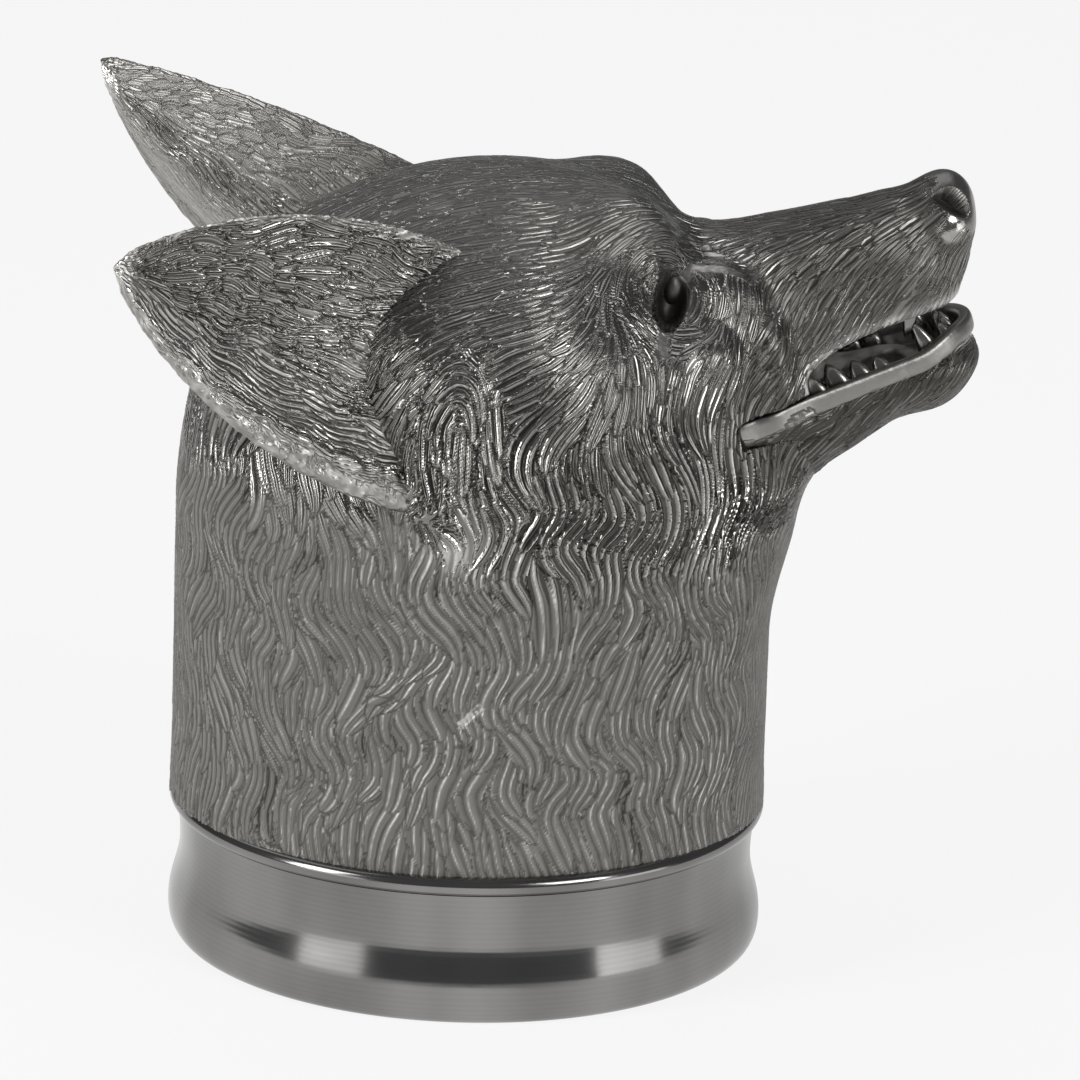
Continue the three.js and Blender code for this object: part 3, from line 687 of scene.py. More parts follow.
def bandUv(rows, cols, start, span):
    # Their map: the columns across it, and the rows up a span of it
    j = np.arange(cols)
    u = np.stack([j, j + 1, j + 1, j], axis=-1)[None] / cols
    v = start + span * (np.arange(rows - 1)[:, None, None] + np.array([0, 0, 1, 1])) / (rows - 1)
    return np.stack(np.broadcast_arrays(u, v), axis=-1).reshape(-1, 2)


def extended(marks, *ends):
    # Marks for a grid and for the points after it: how many, and which rows they take the mean of
    return {
        key: np.concatenate([value.ravel(), *(np.full(count, value[rows].mean()) for count, rows in ends)])
        for key, value in marks.items()
    }


shellForm = Sizes(
    everyColumn=8, everyRow=12, mapFoot=0.06, mapSpan=0.94, hiddenSpan=0.04, strewn=(0.61803, 0.41421),
    wall=0.7, socketWall=2.3, nostrilWall=0.8, poleWall=0.3, poleOut=0.02,
)


def shellPiece(name, grid, normals, marks, wall, pole=None):
    # A closed shell: a fine outer grid, a coarse wall inside it, and a strip that joins the two at each end.
    # With a pole the last row closes to that point, outside and inside.
    rows, cols = grid.shape[:2]
    skip = shellForm.everyColumn
    innerRows = np.unique(np.linspace(0, rows - 1, max(3, rows // shellForm.everyRow)).astype(int))
    inner = (grid - normals * wall[..., None])[innerRows][:, ::skip]
    coarseRows, coarseCols = inner.shape[:2]
    points = np.concatenate([grid.reshape(-1, 3), inner.reshape(-1, 3)])
    base = rows * cols
    quads = np.concatenate([bandFaces(rows, cols), bandFaces(coarseRows, coarseCols, base)[:, ::-1]])
    j = np.arange(cols)
    k = np.arange(coarseCols)
    triangles = []
    fineEnd, coarseEnd = (rows - 1) * cols, base + (coarseRows - 1) * coarseCols
    ends = [(0, base, False)] + ([(fineEnd, coarseEnd, True)] if pole is None else [])
    for fine, coarse, last in ends:
        strip = np.stack([fine + (j + 1) % cols, fine + j, coarse + j // skip], axis=-1)
        gap = np.stack([fine + (k + 1) * skip % cols, coarse + k, coarse + (k + 1) % coarseCols], axis=-1)
        both = np.concatenate([strip, gap])
        triangles.append(both[:, ::-1] if last else both)
    if pole is not None:
        inside = pole - (pole - inner[-1].mean(0)) * shellForm.poleWall
        points = np.concatenate([points, [pole, inside]])
        tip = len(points) - 2
        triangles.append(fanFaces(fineEnd, cols, tip))
        triangles.append(fanFaces(coarseEnd, coarseCols, tip + 1)[:, [1, 0, 2]])
    triangles = np.concatenate(triangles)
    extra = len(points) - rows * cols
    allNormals = np.concatenate([normals.reshape(-1, 3), np.zeros((extra, 3))])
    if pole is not None:
        allNormals[-2] = unit(normals[-1].mean(0))
    # The outer grid fills most of the map, and the hidden wall is strewn over a narrow strip at its foot
    hidden = np.arange(4 * (len(quads) - (rows - 1) * cols) + 3 * len(triangles))
    hiddenU, hiddenV = ((hidden * step) % 1 for step in shellForm.strewn)
    hiddenUv = np.stack([hiddenU, shellForm.hiddenSpan * hiddenV], axis=-1)
    uv = np.concatenate([bandUv(rows, cols, shellForm.mapFoot, shellForm.mapSpan), hiddenUv])
    faces = quads.tolist() + triangles.tolist()
    return makeMesh(name, points, faces, allNormals, extended(marks, (extra, slice(None))), uv)


def settle(piece, node):
    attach(piece, "root")
    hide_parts(node)
    print(piece.name, len(piece.data.polygons), "faces")
    return piece


headCuts = {"neck_low": 0, "neck_high": 84, "cheeks": 168, "crown": 252, "brow": 336, "muzzle": 420}
grooveOf = Sizes(
    fur=0.55, coarse=0.45, frosted=0.2, cut=0.06, socket=1.05, lip=0.14, nose=0.35, wing=0.7, nostril=1.1,
)
frostOf = Sizes(neck=1.5, nose=0.6, crown=0.6, cut=0.8, lip=0.7, muzzle=0.45, calm=0.8)
furGroove = trough * (1 - grooveOf.frosted * frostNeck) * furry
furGroove = furGroove * (grooveOf.fur + grooveOf.coarse * coarse)
# The eye socket and the nostril are painted near black, painted shade in their pits
cutGroove = grooveOf.cut * cutFace * (1 - socketBand) + grooveOf.socket * socketBand
lipGroove = grooveOf.lip * lipBand * (1 - cutFace)
# The nose pad is painted mid grey, and its wing paler as a painted highlight
noseGroove = grooveOf.nose * smoothNose * (1 - grooveOf.wing * wing)
marks = {
    "groove": furGroove + cutGroove + lipGroove + noseGroove + grooveOf.nostril * nostrilBand,
    "across": across,
    "frost": np.maximum.reduce([
        frostOf.neck * frostNeck,
        nostrilBand + frostOf.nose * smoothNose * (1 - wing),
        frostOf.crown * crown,
        frostOf.cut * cutFace,
        socketBand,
        frostOf.lip * lipBand,
        frostOf.muzzle * muzzleSide * (1 - smoothNose),
        frostOf.calm * calm,
    ]),
}
# The wall inside the shell lies deeper round the eyes and nostrils, behind their pits
atSocket = smoothstep(*zones.socketWall, pitDistance(head, "socket"))
atNostril = smoothstep(*zones.nostrilWall, pitDistance(head, "nostril"))
hiddenWall = shellForm.wall + shellForm.socketWall * atSocket + shellForm.nostrilWall * atNostril
headPieces = []
for name, (start, end) in zip(headCuts, pairwise([*headCuts.values(), len(head)])):
    last = end == len(head)
    rows = slice(start, end if last else end + 1)
    part = {key: value[rows] for key, value in marks.items()}
    tip = headCoat[-1].mean(0) + coatNormal[-1].mean(0) * shellForm.poleOut if last else None
    piece = shellPiece(name, headCoat[rows], coatNormal[rows], part, hiddenWall[rows], pole=tip)
    headPieces.append(settle(piece, "head_casting"))


def solidGrid(name, grid, marks):
    # A closed piece from a grid whose columns close on themselves, with each end drawn to its middle point
    rows, cols = grid.shape[:2]
    j = np.arange(cols)
    points = np.concatenate([grid.reshape(-1, 3), grid[:1].mean(1), grid[-1:].mean(1)])
    first = fanFaces(0, cols, rows * cols)[:, [1, 0, 2]]
    last = fanFaces((rows - 1) * cols, cols, rows * cols + 1)
    normals = np.concatenate([gridNormals(grid).reshape(-1, 3), np.zeros((2, 3))])
    uv = [bandUv(rows, cols, 0.03, 0.94)]
    for row, edge, (a, b) in ((0.0, 0.03, (1, 0)), (1.0, 0.97, (0, 1))):
        u = np.stack([(j + a) / cols, (j + b) / cols, (j + 0.5) / cols], axis=-1)
        uv.append(np.stack([u, np.broadcast_to([edge, edge, row], u.shape)], axis=-1).reshape(-1, 2))
    faces = bandFaces(rows, cols).tolist() + first.tolist() + last.tolist()
    return makeMesh(name, points, faces, normals, extended(marks, (1, 0), (1, -1)), np.concatenate(uv))


print("stage 6: ears")

earForm = Sizes(
    rows=250, columns=380, thickness=1.7, tipThinner=0.7, lowerRimGain=0.45, cup=0.4,
    tip=(-29.9, 27.0, 18.0), upper=((-1, 11, 15), (-12, 15, 21.4), (-23.5, 22, 21.4)),
    lower=((-2, 18.6, -4.5), (-13.5, 27, -1.9), (-26, 28, 8)), leftShift=(3.6, 1.5, 0.7),
    tipTall=0.6, band=0.75, bandEdge=0.05, ridgeWidth=0.07, ridgeRough=0.25,
    rightPolish=0.72, leftCalm=0.75, cover=3.5, packedToTip=1.25, tipRound=0.06, faceSquare=0.6,
    dishFrom=0.35, dishGain=1.6, dishLoss=0.3, inside=(0.1, 0.6), rim=(0.9, 0.97), rimFace=(-0.6, 0.2),
    bandFace=(-0.7, 0.0), satin=(-0.1, 0.4), furEnd=(0.86, 0.94), fold=(-0.3, -0.5), plain=(-0.2, 0.2),
)


def bezier(points, t):
    a, b, c, d = (np.array(p, float) for p in points)
    t = t[..., None]
    s = 1 - t
    place = s**3 * a + 3 * s**2 * t * b + 3 * s * t**2 * c + t**3 * d
    slope = 3 * s**2 * (b - a) + 6 * s * t * (c - b) + 3 * t**2 * (d - c)
    return place, unit(slope)


def earGrid(side):
    # Each row spans from the upper rim to the lower one; the section is a thin leaf, dished by a parabola.
    # The left ear stands higher, with a flatter arch, and its lower rim sags a little.
    form = earForm
    lift, arch, sag = form.leftShift if side > 0 else (0.0, 0.0, 0.0)
    up = np.array([0, 0, headBase])
    tip = np.array(form.tip) + [-lift / 4, 0, lift]
    upper, lower = np.array(form.upper, float), np.array(form.lower, float)
    upper[1:, 2] += [-arch, lift / 3 - arch / 2]
    lower[1:, 2] -= sag
    tall = np.array([0, 0, form.tipTall])
    t = 1 - (1 - np.linspace(0, 1, form.rows)) ** form.packedToTip
    top, topWay = bezier([*(upper + up), tip + up + tall], t)
    bottom, bottomWay = bezier([*(lower + up), tip + up - tall], t)
    middle = (top + bottom) / 2
    opening = unit(np.cross(bottom - middle, unit(topWay + bottomWay)))
    nearTip = np.clip((t - (1 - form.tipRound)) / form.tipRound, 0, 1)
    across = (bottom - middle) * np.sqrt(1 - 0.99 * nearTip**2)[:, None]
    half = np.linalg.norm(across, axis=-1)
    turn = around(form.columns)
    s = np.cos(turn)[None, :]
    rim = (form.thickness - form.tipThinner * t)[:, None] * (1 + form.lowerRimGain * s)
    thickness = np.minimum(rim, half[:, None] + 0.2)
    face = np.sign(np.sin(turn)) * np.abs(np.sin(turn)) ** form.faceSquare
    dish = form.cup * half * np.minimum(1, form.dishFrom + form.dishGain * t) * (1 - form.dishLoss * t)
    fold = np.where(s > 0, np.minimum(s / form.band, 1), -s)
    offset = face[None, :] * thickness / 2 - dish[:, None] * (1 - fold**2)
    grid = middle[:, None] + across[:, None] * s[..., None] + opening[:, None] * offset[..., None]
    leaf = [np.broadcast_to(a, offset.shape) for a in (t[:, None], s, face)]
    if side > 0:
        return grid[:, ::-1], [a[:, ::-1] for a in leaf]
    return grid * np.array([1, -1, 1]), leaf


def makeEar(name, side, node):
    # A leaf with a smooth rim and tip. Along it s runs from the upper rim at -1 to the folded lower rim at 1.
    grid, (t, s, face) = earGrid(side)
    normal = gridNormals(grid)
    way = swing(unit(np.gradient(grid, axis=0)), normal, 0.35 * waves(grid, 5.0, 21))
    inside = smoothstep(*earForm.inside, face)
    band = earForm.band
    rimBand = smoothstep(*earForm.rim, -s) * smoothstep(*earForm.rimFace, face)
    lowerBand = smoothstep(band, band + earForm.bandEdge, s) * smoothstep(*earForm.bandFace, face)
    rimBand = np.maximum(rimBand, lowerBand)
    ridge = np.exp(-(((s - band) / earForm.ridgeWidth) ** 2)) * inside
    satin = smoothstep(*earForm.satin, s + 0.5 * waves(grid, 6.0, 27)) * inside
    fur = (1 - smoothstep(*earForm.furEnd, t)) * (1 - 0.9 * rimBand)
    rough = (0.06 * waves(grid, 1.6, 26) + 0.05 * waves(grid, 0.7, 29)) * (1 - fur)
    rough = rough + earForm.ridgeRough * ridge * waves(grid, 1.5, 28)
    # The far ear's back is plainer: a smooth fold under its upper rim, painted dark as painted shade, a few
    # strokes, and satin below
    back = (1 - inside) * (side > 0)
    fold = back * smoothstep(*earForm.fold, s)
    plain = back * smoothstep(*earForm.plain, s)
    fur = fur * (1 - earForm.leftCalm * np.maximum(fold, plain))
    style = (0.85 + 0.35 * inside, 2.3 + 1.3 * inside, (0.07 + 0.17 * inside * (1 - 0.5 * satin)) * fur)
    relief, trough, across = twoCoats(grid, normal, way, style, earForm.cover, fur > 0.1, 22, -1)
    coat = grid + normal * (relief * fur + rough)[..., None]
    # The right ear's grooves are painted lighter, painted light on the near ear
    worn = earForm.rightPolish if side < 0 else 1.0
    furGroove = worn * np.abs(trough) ** (1 + 0.8 * inside) * fur * (1 + 0.3 * inside) * (1 - 0.4 * satin)
    rimGroove = (0.24 + 0.12 * waves(grid, 1.1, 30)) * rimBand
    marks = {
        "groove": furGroove + rimGroove + 0.5 * fold + 0.12 * plain,
        "across": across,
        "frost": np.maximum.reduce([0.8 * rimBand, 0.7 * satin * (1 - ridge), 0.9 * plain, 0.4 * fold]),
    }
    return settle(solidGrid(name, coat, marks), node)


ears = [makeEar("right_ear_leaf", -1, "right_ear"), makeEar("left_ear_leaf", 1, "left_ear")]

print("stage 7: lower jaw and teeth")


def makeJaw():
    # Rays fan from the jaw's middle over the underside up to the lip, a half round bead makes the lip, and a
    # wall and floor close the mouth inside it. The back runs on inside the throat, a little under its skin.
    form = jawForm
    turn = -around(form.columns)
    lean = np.linspace(-0.5 * math.pi + form.bottomGap, 0, form.skinRows)[:, None]
    heart = np.array([form.middle, 0, form.lipLevel])
    way = spread(np.cos(turn) * np.cos(lean), np.sin(turn) * np.cos(lean), np.sin(lean))

    def jawSkin(p):
        whole = onJaw(p, back=True)
        d = merge(jawDistance(whole), wholeHead(whole), form.joint)
        sunk = form.sunk * smoothstep(*form.sunkAt, jawReach(whole, p[..., 2]))
        return np.maximum(d + sunk, form.backEnd - whole[..., 0])

    skin = castRays(jawSkin, heart, way, reach=form.rayLength)
    out = way[-1]
    edge = skin[-1]
    skin = skin - out[None] * (form.underLip * smoothstep(*form.underLipAt, lean))[..., None]
    wide, tall = form.lipWide, form.lipTall
    core = edge - out * (wide - form.lipSeat)
    core[:, 2] += form.backRise * smoothstep(*form.backRiseAt, core[:, 0])
    core = core - out * smoothstep(*form.lipDrawnAt, jawReach(onJaw(core, back=True), core[:, 2]))[:, None]
    a = np.linspace(-0.5 * math.pi, math.pi, form.lipRows)[:, None, None]
    flat = [np.sign(f) * np.abs(f) ** form.lipSquare for f in (np.cos(a), np.sin(a))]
    lip = core + wide * flat[0] * out + tall * flat[1] * np.array([0, 0, 1.0])
    wallFoot = core - out * (wide + form.wallIn)
    wallFoot[:, 2] = form.floor
    share = np.linspace(0, 1, form.wallRows)[1:, None, None]
    wall = lip[-1] * (1 - share) + wallFoot * share
    share = np.linspace(0, form.floorEnd, form.floorRows)[1:, None, None]
    heart[2] = form.floor
    floorRows = wallFoot * (1 - share) + heart * share
    floorRows[..., 2] += form.tongue * smoothstep(*form.tongueAt, share[..., 0])
    grid = onJaw(np.concatenate([skin, lip, wall, floorRows]), back=True)
    normal = gridNormals(grid)
    inner = len(wall) + len(floorRows)
    kind = np.repeat([0, 1, 2], [len(skin), len(lip), inner])[:, None]
    furRow = 1 - smoothstep(*form.furEnd, lean[:, 0])
    furRow = np.concatenate([furRow, np.zeros(len(lip) + inner)])
    fur = np.broadcast_to(furRow[:, None], grid.shape[:2])
    lies = np.array(form.furLies)
    way = swing(unit(lies - normal * (normal @ lies)[..., None]), normal, 0.4 * waves(grid, 5.0, 31))
    size = smoothstep(*form.chin, grid[..., 0])
    style = (0.9 + 0.9 * size, 3.4 + 2.4 * size, 0.08 + 0.06 * size)
    relief, trough, across = twoCoats(grid, normal, way, style, form.cover, fur > 0.1, 32)
    coat = grid + normal * (relief * fur + form.rough * waves(grid, 1.2, 34) * (kind == 2))[..., None]
    marks = {
        # The jaw's fur is painted a step darker than the head's, painted shade on the jaw
        "groove": (0.5 + trough * 0.7) * fur + 0.3 * (kind == 1) + 0.1 * (kind == 2),
        "across": across,
        "frost": 0.3 + 0.6 * (kind > 0) + 0 * fur,
    }
    return settle(solidGrid("lower_jaw_form", coat, marks), "lower_jaw")


jaw = makeJaw()

# Place of each foot along, beside and above the jaw's or the muzzle's line, then height and radius
toothForm = {
    "lower": [
        (11.2, 5.2, 1.4, 1.9, 1.0),
        (13.1, 5.1, 1.4, 2.3, 1.05),
        (15.1, 4.9, 1.4, 2.0, 0.95),
        (16.9, 4.6, 1.4, 1.7, 0.85),
        (20.9, 3.3, 1.4, 2.9, 0.8),
        (22.6, 1.9, 2.0, 1.5, 0.6),
        (23.0, 0.7, 2.0, 1.6, 0.6),
    ],
    "upper": [
        (6.6, 4.2, -4.7, 1.8, 1.0),
        (8.7, 4.1, -4.4, 1.8, 0.95),
        (10.7, 3.9, -4.1, 1.6, 0.85),
        (13.9, 3.3, -3.9, 2.7, 0.65),
    ],
    "lowerUp": (-0.31, 0, 0.95),
    "upperUp": (0.2, 0, -0.98),
    "rows": 22,
    "columns": 32,
    "ribs": 0.12,
    "bend": 0.25,
}


def tooth(name, foot, up, height, radius, node):
    # A cusp: a ring swept up the height and narrowing to the tip, with three soft ribs, bent back a little
    rows, cols = toothForm["rows"], toothForm["columns"]
    h = np.linspace(0, 1, rows)[:, None]
    turn = around(cols)
    r = np.clip(1 - h**2.2, 0, 1) ** 0.75 * (1 + toothForm["ribs"] * np.sin(3 * turn))
    r = radius * (r + 0.01)
    up = unit(np.array(up, float))
    side = unit(np.cross(up, [0, 1, 0.0]))
    other = np.cross(up, side)
    bent = toothForm["bend"] * height * h**2
    grid = np.array(foot, float) + up * (h * height)[..., None] - np.array([1, 0, 0]) * bent[..., None]
    grid = grid + side * (r * np.cos(turn))[..., None] + other * (r * np.sin(turn))[..., None]
    if np.sum(gridNormals(grid)[rows // 2, 0] * side) < 0:
        grid = grid[:, ::-1]
    # Each tooth is painted lighter towards its tip, a painted highlight on the cusp, and darker at its foot
    marks = {"groove": np.broadcast_to(0.55 - 0.45 * h, (rows, cols))}
    return settle(solidGrid(name, grid, marks), node)


def onLowerJaw(point):
    return onJaw(np.array(point), back=True)


teeth = []
for side, sideName in ((-1, "right"), (1, "left")):
    for row, placed, node in (("lower", onLowerJaw, "lower_jaw"), ("upper", onMuzzle, "head_casting")):
        for i, (along, half, level, height, radius) in enumerate(toothForm[row]):
            foot = placed((along, side * half, level))
            name = f"{sideName}_{row}_tooth_{i}"
            teeth.append(tooth(name, foot, toothForm[row + "Up"], height, radius, node))

print("stage 8: collar, bead and cup")

turnedForm = Sizes(
    bore=22.8, around=360, collarTop=10.85, beadFoot=10.9, beadTop=12.4, beadRadius=0.75, beadOut=1.0,
    cup=(21.6, 33.0, 7.0), cupWall=0.9, cupTaper=1.0, pinhole=0.02,
)


def turnedPiece(name, profile, node):
    # A closed profile of radius and height turned about the upright axis
    turn = around(turnedForm.around)
    closed = np.array([*profile, profile[0]], float)
    radius, height = closed[:, 0:1], closed[:, 1:2]
    grid = spread(radius * np.cos(turn), radius * np.sin(turn), height)
    rows, cols = len(profile), len(turn)
    quads = bandFaces(rows + 1, cols) % (rows * cols)
    run = np.cumsum(np.hypot(*np.diff(closed, axis=0).T))
    marks = {"groove": np.full(rows * cols, 0.25), "across": np.repeat(run, cols)}
    points = grid[:-1].reshape(-1, 3)
    piece = makeMesh(name, points, quads.tolist(), None, marks, bandUv(rows + 1, cols, 0, 1))
    piece.data.set_sharp_from_angle(angle=math.radians(35))
    return settle(piece, node)


def curve2(points, count):
    place, _ = bezier([(x, z, 0) for x, z in points], np.linspace(0, 1, count))
    return place[:, :2].tolist()


def collarProfile():
    # The ogee from the drinking edge up to the bead, and the bore behind it
    bore, top = turnedForm.bore, turnedForm.collarTop
    return (
        curve2([(23.5, 0), (24.15, 0.15), (24.55, 1.0), (24.5, 2.4)], 16)
        + curve2([(24.5, 2.4), (24.45, 4.3), (23.6, 5.3), (23.6, 7.7)], 28)[1:]
        + curve2([(23.6, 7.7), (23.61, 8.9), (23.75, 10.0), (23.95, top)], 14)[1:]
        + [(bore, top), (bore, 0)]
    )


def beadProfile():
    bore, foot, radius = turnedForm.bore, turnedForm.beadFoot, turnedForm.beadRadius
    middle = bore + turnedForm.beadOut
    arc = [
        (middle + radius * math.cos(a), foot + radius * (1 + math.sin(a)))
        for a in np.linspace(-0.5, 0.5, 24) * math.pi
    ]
    return [(bore, foot), *arc, (bore, turnedForm.beadTop)]


def cupSection(wall):
    # Up the tapered side and round the corner, that far outside the bore of the cup
    radius, depth, corner = (size + wall for size in turnedForm.cup)
    end = radius - turnedForm.cupTaper
    side = [(radius - share, share * (depth - corner)) for share in np.linspace(0, 1, 30)]
    turn = np.linspace(0, 0.5 * math.pi, 16)[1:]
    bend = [(end - corner + corner * math.cos(b), depth - corner + corner * math.sin(b)) for b in turn]
    return [*side, *bend, (turnedForm.pinhole, depth)]


cupProfile = cupSection(turnedForm.cupWall) + cupSection(0.0)[::-1]
collar = turnedPiece("collar_band", collarProfile(), "collar")
bead = turnedPiece("bead_wire", beadProfile(), "collar_bead")
cup = turnedPiece("cup_shell", cupProfile, "cup_liner")

print("stage 9: eyes")

eyeForm = Sizes(rows=40, columns=64, radii=(0.95, 1.1, 1.5), sunk=2.2)


def makeEye(name, side, node):
    # An egg: a ball stretched along each axis
    turn = around(eyeForm.columns)
    lean = np.linspace(-0.5, 0.5, eyeForm.rows)[1:-1, None] * math.pi
    ex, ey, ez = eyeCentre
    wide, thick, tall = eyeForm.radii
    grid = spread(
        ex + wide * np.cos(turn) * np.cos(lean),
        side * (ey - eyeForm.sunk) + thick * np.sin(turn) * np.cos(lean),
        headBase + ez + tall * np.sin(lean),
    )
    return settle(solidGrid(name, grid, {"groove": 0.6 + 0 * grid[..., 0]}), node)


eyes = [makeEye("right_eye_ball", -1, "right_eye"), makeEye("left_eye_ball", 1, "left_eye")]

print("stage 10: materials")


class Wire:
    # A socket in a material, so that shader maths reads as sums
    def __init__(self, tree, socket=None):
        self.tree, self.socket = tree, socket

    def make(self, kind, inputs=None, out=0, stops=None, **settings):
        node = self.tree.nodes.new(kind)
        for key, value in settings.items():
            setattr(node, key, value)
        if stops:
            ramp = node.color_ramp
            while len(ramp.elements) < len(stops):
                ramp.elements.new(0.5)
            for element, (place, colour) in zip(ramp.elements, stops):
                element.position = place
                element.color = colour
        for key, value in (inputs or {}).items():
            if isinstance(value, Wire):
                self.tree.links.new(value.socket, node.inputs[key])
            else:
                node.inputs[key].default_value = value
        return Wire(self.tree, node.outputs[out])

    def mark(self, name):
        return self.make("ShaderNodeAttribute", out="Fac", attribute_name=name)

    def noise(self, place, scale, detail):
        return self.make("ShaderNodeTexNoise", {"Vector": place, "Scale": scale, "Detail": detail}, out="Fac")

    def maths(self, operation, other=0.0):
        return self.make("ShaderNodeMath", {0: self, 1: other}, operation=operation)

    def __add__(self, other):
        return self.maths("ADD", other)

    def __sub__(self, other):
        return self.maths("SUBTRACT", other)

    def __rsub__(self, other):
        return self.make("ShaderNodeMath", {0: other, 1: self}, operation="SUBTRACT")

    def __mul__(self, other):
        return self.maths("MULTIPLY", other)

    __radd__ = __add__
    __rmul__ = __mul__


def silver(name, look):
    # Plated silver: pale on the crests, greyer in the troughs and dark where polish never reaches. The same
    # ramp also turns the painted shade and painted highlights set in the groove mark into colour. Fine hair
    # lines run along the locks, at so many to a groove.
    look = Sizes(**look)
    material = bpy.data.materials.new(name)
    material.use_nodes = True
    tree = material.node_tree
    shader = tree.nodes["Principled BSDF"]
    wire = Wire(tree)
    place = wire.make("ShaderNodeTexCoord", out="Object")
    tall = wire.make("ShaderNodeVectorMath", {0: place, 1: look.streakShape}, operation="MULTIPLY")
    broad = wire.noise(place, look.stainScale, 4.0)
    grain = wire.noise(place, look.grainScale, 3.0)
    streak = wire.noise(tall, look.streakScale, 2.0)
    turn = wire.mark("across") * look.hairLines * 2 * math.pi + (broad - 0.5) * look.hairWander
    lines = turn.maths("SINE")
    depth = wire.mark("groove") + (broad - 0.5) * look.stain + (streak - 0.5) * look.streak
    depth = depth + (grain - 0.5) * look.grainStain + lines * look.lineStain
    stops = [(p, (*c, 1)) for p, c in look.stops]
    colour = wire.make("ShaderNodeValToRGB", {"Fac": depth}, out="Color", stops=stops)
    rough = look.roughCrest + depth * (look.roughDeep - look.roughCrest)
    rough = rough + wire.mark("frost") * look.frost
    rough = wire.make("ShaderNodeClamp", {"Value": rough, "Min": 0.05, "Max": 0.8}, out="Result")
    height = grain * look.grainBump + lines * look.lineBump
    bump = {"Height": height, "Strength": 1.0, "Distance": look.bumpDistance}
    bump = wire.make("ShaderNodeBump", bump, out="Normal")
    for key, value in (("Base Color", colour), ("Roughness", rough), ("Normal", bump)):
        tree.links.new(value.socket, shader.inputs[key])
    shader.inputs["Metallic"].default_value = 1.0
    return material


furSilver = dict(
    stops=[
        (0.0, (0.64, 0.63, 0.605)),
        (0.14, (0.42, 0.41, 0.39)),
        (0.32, (0.26, 0.253, 0.24)),
        (0.8, (0.185, 0.18, 0.168)),
        (1.0, (0.075, 0.072, 0.065)),
    ],
    stainScale=400.0, stain=0.25, streakShape=(1, 1, 0.1), streakScale=60.0, streak=0.1,
    grainScale=3000.0, grainStain=0.1, grainBump=0.12, bumpDistance=0.0001,
    hairLines=2.0, hairWander=6.0, lineStain=0.07, lineBump=0.25,
    roughCrest=0.1, roughDeep=0.26, frost=0.26,
)
# The ears' silver is the fur's made a quarter brighter, painted light
litEarSilver = dict(furSilver, roughCrest=0.12, roughDeep=0.3)
litEarSilver["stops"] = [(place, tuple(1.25 * c for c in colour)) for place, colour in furSilver["stops"]]

# The collar's and bead's colour carries strong upright streaks, painted reflections of a streaked surround;
# the cup's streaks are the same at less strength
polishedSilver = dict(
    furSilver,
    stops=[(0.0, (0.29, 0.286, 0.28)), (0.4, (0.175, 0.172, 0.168)), (1.0, (0.08, 0.078, 0.074))],
    stainScale=60.0, stain=0.2, streakScale=70.0, streak=1.6,
    grainScale=900.0, grainStain=0.05, grainBump=0.02,
    hairLines=2.2, lineStain=0.02, lineBump=0.006,
    roughCrest=0.12, roughDeep=0.3, frost=0.0,
)
cupSilver = dict(polishedSilver, streak=0.6, hairLines=1.5, lineStain=0.06, lineBump=0.05)
# The eye's silver is the fur's at half the brightness, painted shade for a ball deep in its socket
shadedEyeSilver = dict(furSilver, roughCrest=0.4, roughDeep=0.5, grainBump=0.05, lineStain=0.0, lineBump=0.0)
shadedEyeSilver["stops"] = [(place, tuple(0.5 * c for c in colour)) for place, colour in furSilver["stops"]]
toothSilver = dict(furSilver, roughCrest=0.22, roughDeep=0.35, grainBump=0.08, lineStain=0.0, lineBump=0.0)
for pieces, name, look in (
    (headPieces + [jaw], "chased silver", furSilver),
    (teeth, "tooth silver", toothSilver),
    (ears, "ear silver", litEarSilver),
    ([collar, bead], "polished silver", polishedSilver),
    ([cup], "cup silver", cupSilver),
    (eyes, "eye silver", shadedEyeSilver),
):
    finish = silver(name, look)
    for piece in pieces:
        piece.data.materials.append(finish)

print("stage 11: floor, light and camera")

studio = Sizes(
    floorHalf=4.0, floorColour=(0.93, 0.93, 0.93), floorRough=0.6, floorWhite=0.85,
    worldColour=(0.9, 0.92, 0.95), worldStrength=0.15, lampAim=(0, 0, 0.03), cameraDistance=0.6,
    cameraElevation=16.84, cameraAzimuth=-4.0, cameraRoll=1.86, cameraLens=244.4, aim=(5.39, 33.46),
)

# Where each lamp hangs, its width and height, and its power
lamps = {
    "key soft box": ((0.5, -0.55, 0.5), (0.35, 0.3), 2.7),
    "left soft box": ((-0.6, -0.3, 0.35), (0.25, 0.4), 2.6),
    "top soft box": ((-0.1, 0.35, 0.75), (0.9, 0.7), 1.3),
    "left card": ((-0.7, -0.5, 0.08), (0.4, 0.3), 0.7),
    "right card": ((0.7, -0.36, 0.08), (0.4, 0.3), 0.7),
}


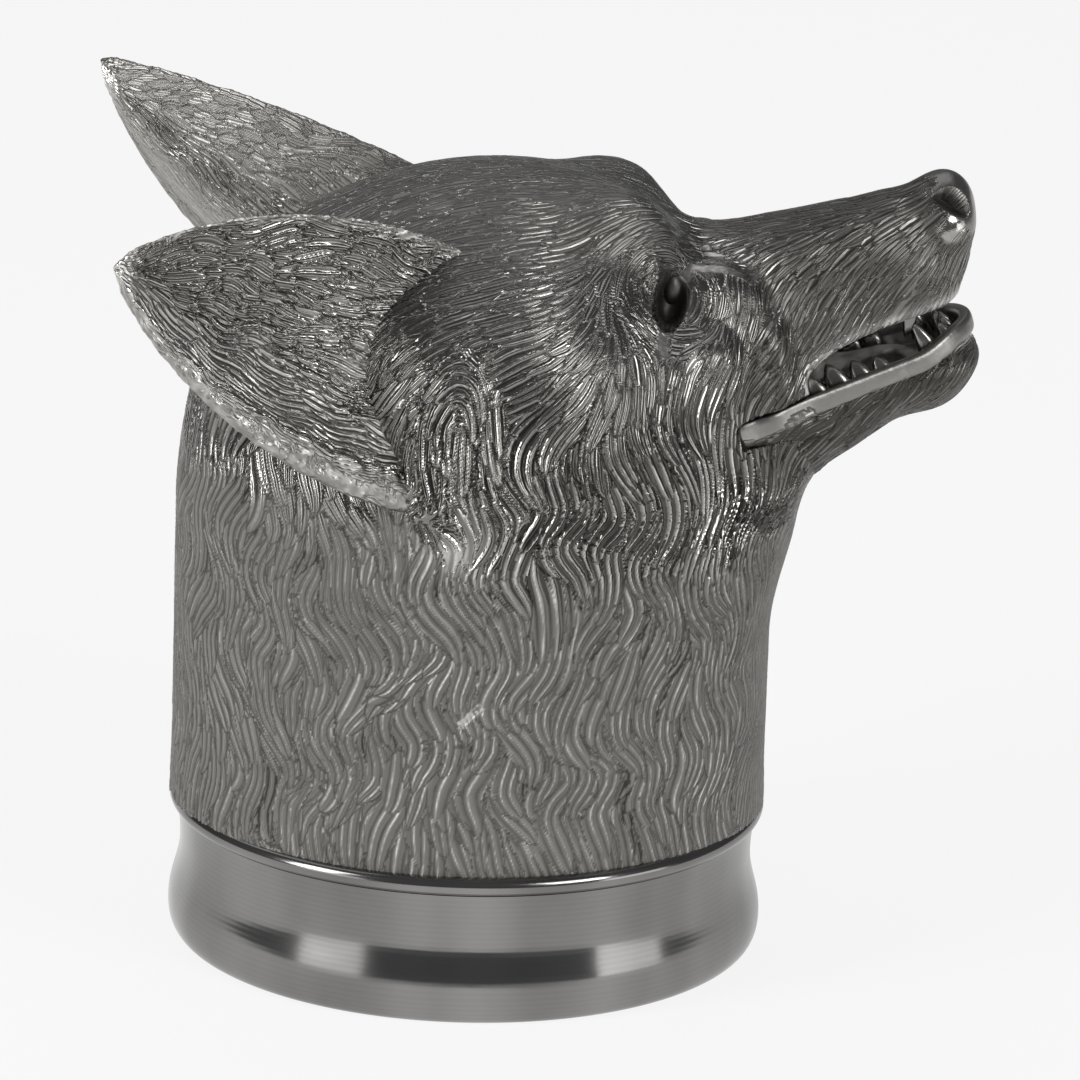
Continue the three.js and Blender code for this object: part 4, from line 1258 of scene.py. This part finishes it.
def makeFloor():
    # White paper that shades like paper, and looks plain white to the camera and in mirror reflections
    half = studio.floorHalf
    mesh = bpy.data.meshes.new("floor")
    corners = [(x * half, y * half, 0) for x, y in ((-1, -1), (1, -1), (1, 1), (-1, 1))]
    mesh.from_pydata(corners, [], [(0, 1, 2, 3)])
    paint = bpy.data.materials.new("floor paint")
    paint.use_nodes = True
    tree = paint.node_tree
    shader = tree.nodes["Principled BSDF"]
    shader.inputs["Base Color"].default_value = (*studio.floorColour, 1)
    shader.inputs["Roughness"].default_value = studio.floorRough
    wire = Wire(tree)
    kinds = ("Is Camera Ray", "Is Glossy Ray", "Is Transmission Ray")
    seen = sum(wire.make("ShaderNodeLightPath", out=kind) for kind in kinds)
    seen = seen * studio.floorWhite
    share = wire.make("ShaderNodeClamp", {"Value": seen, "Min": 0.0, "Max": 1.0}, out="Result")
    white = wire.make("ShaderNodeEmission", {"Color": (1, 1, 1, 1), "Strength": 1.0}, out="Emission")
    paper = Wire(tree, shader.outputs["BSDF"])
    mixed = wire.make("ShaderNodeMixShader", {0: share, 1: paper, 2: white}, out="Shader")
    tree.links.new(mixed.socket, tree.nodes["Material Output"].inputs["Surface"])
    mesh.materials.append(paint)
    return addObject("floor", mesh)


floor = makeFloor()

for name, (place, (wide, tall), power) in lamps.items():
    light = bpy.data.lights.new(name, "AREA")
    light.shape = "RECTANGLE"
    light.size, light.size_y = wide, tall
    light.energy = power
    lampObject = addObject(name, light)
    lampObject.location = place
    facing = Vector(studio.lampAim) - Vector(place)
    lampObject.rotation_euler = facing.to_track_quat("-Z", "Y").to_euler()

world = bpy.data.worlds.new("studio")
bpy.context.scene.world = world
world.use_nodes = True
background = world.node_tree.nodes["Background"]
background.inputs["Color"].default_value = (*studio.worldColour, 1)
background.inputs["Strength"].default_value = studio.worldStrength

azimuth, elevation = math.radians(studio.cameraAzimuth), math.radians(studio.cameraElevation)
level = math.cos(elevation)
back = Vector((math.sin(azimuth) * level, -math.cos(azimuth) * level, math.sin(elevation)))
right = Vector((math.cos(azimuth), math.sin(azimuth), 0))
aim = (right * studio.aim[0] + Vector((shift[0], shift[1], studio.aim[1]))) / 1000
lens = bpy.data.cameras.new("camera")
lens.sensor_width = 36.0
lens.lens = studio.cameraLens
camera = addObject("camera", lens)
camera.location = aim + back * studio.cameraDistance
camera.rotation_mode = "QUATERNION"
roll = Quaternion((0, 0, 1), math.radians(studio.cameraRoll))
camera.rotation_quaternion = (-back).to_track_quat("-Z", "Y") @ roll
bpy.context.scene.camera = camera
bpy.context.scene.view_settings.view_transform = "Standard"
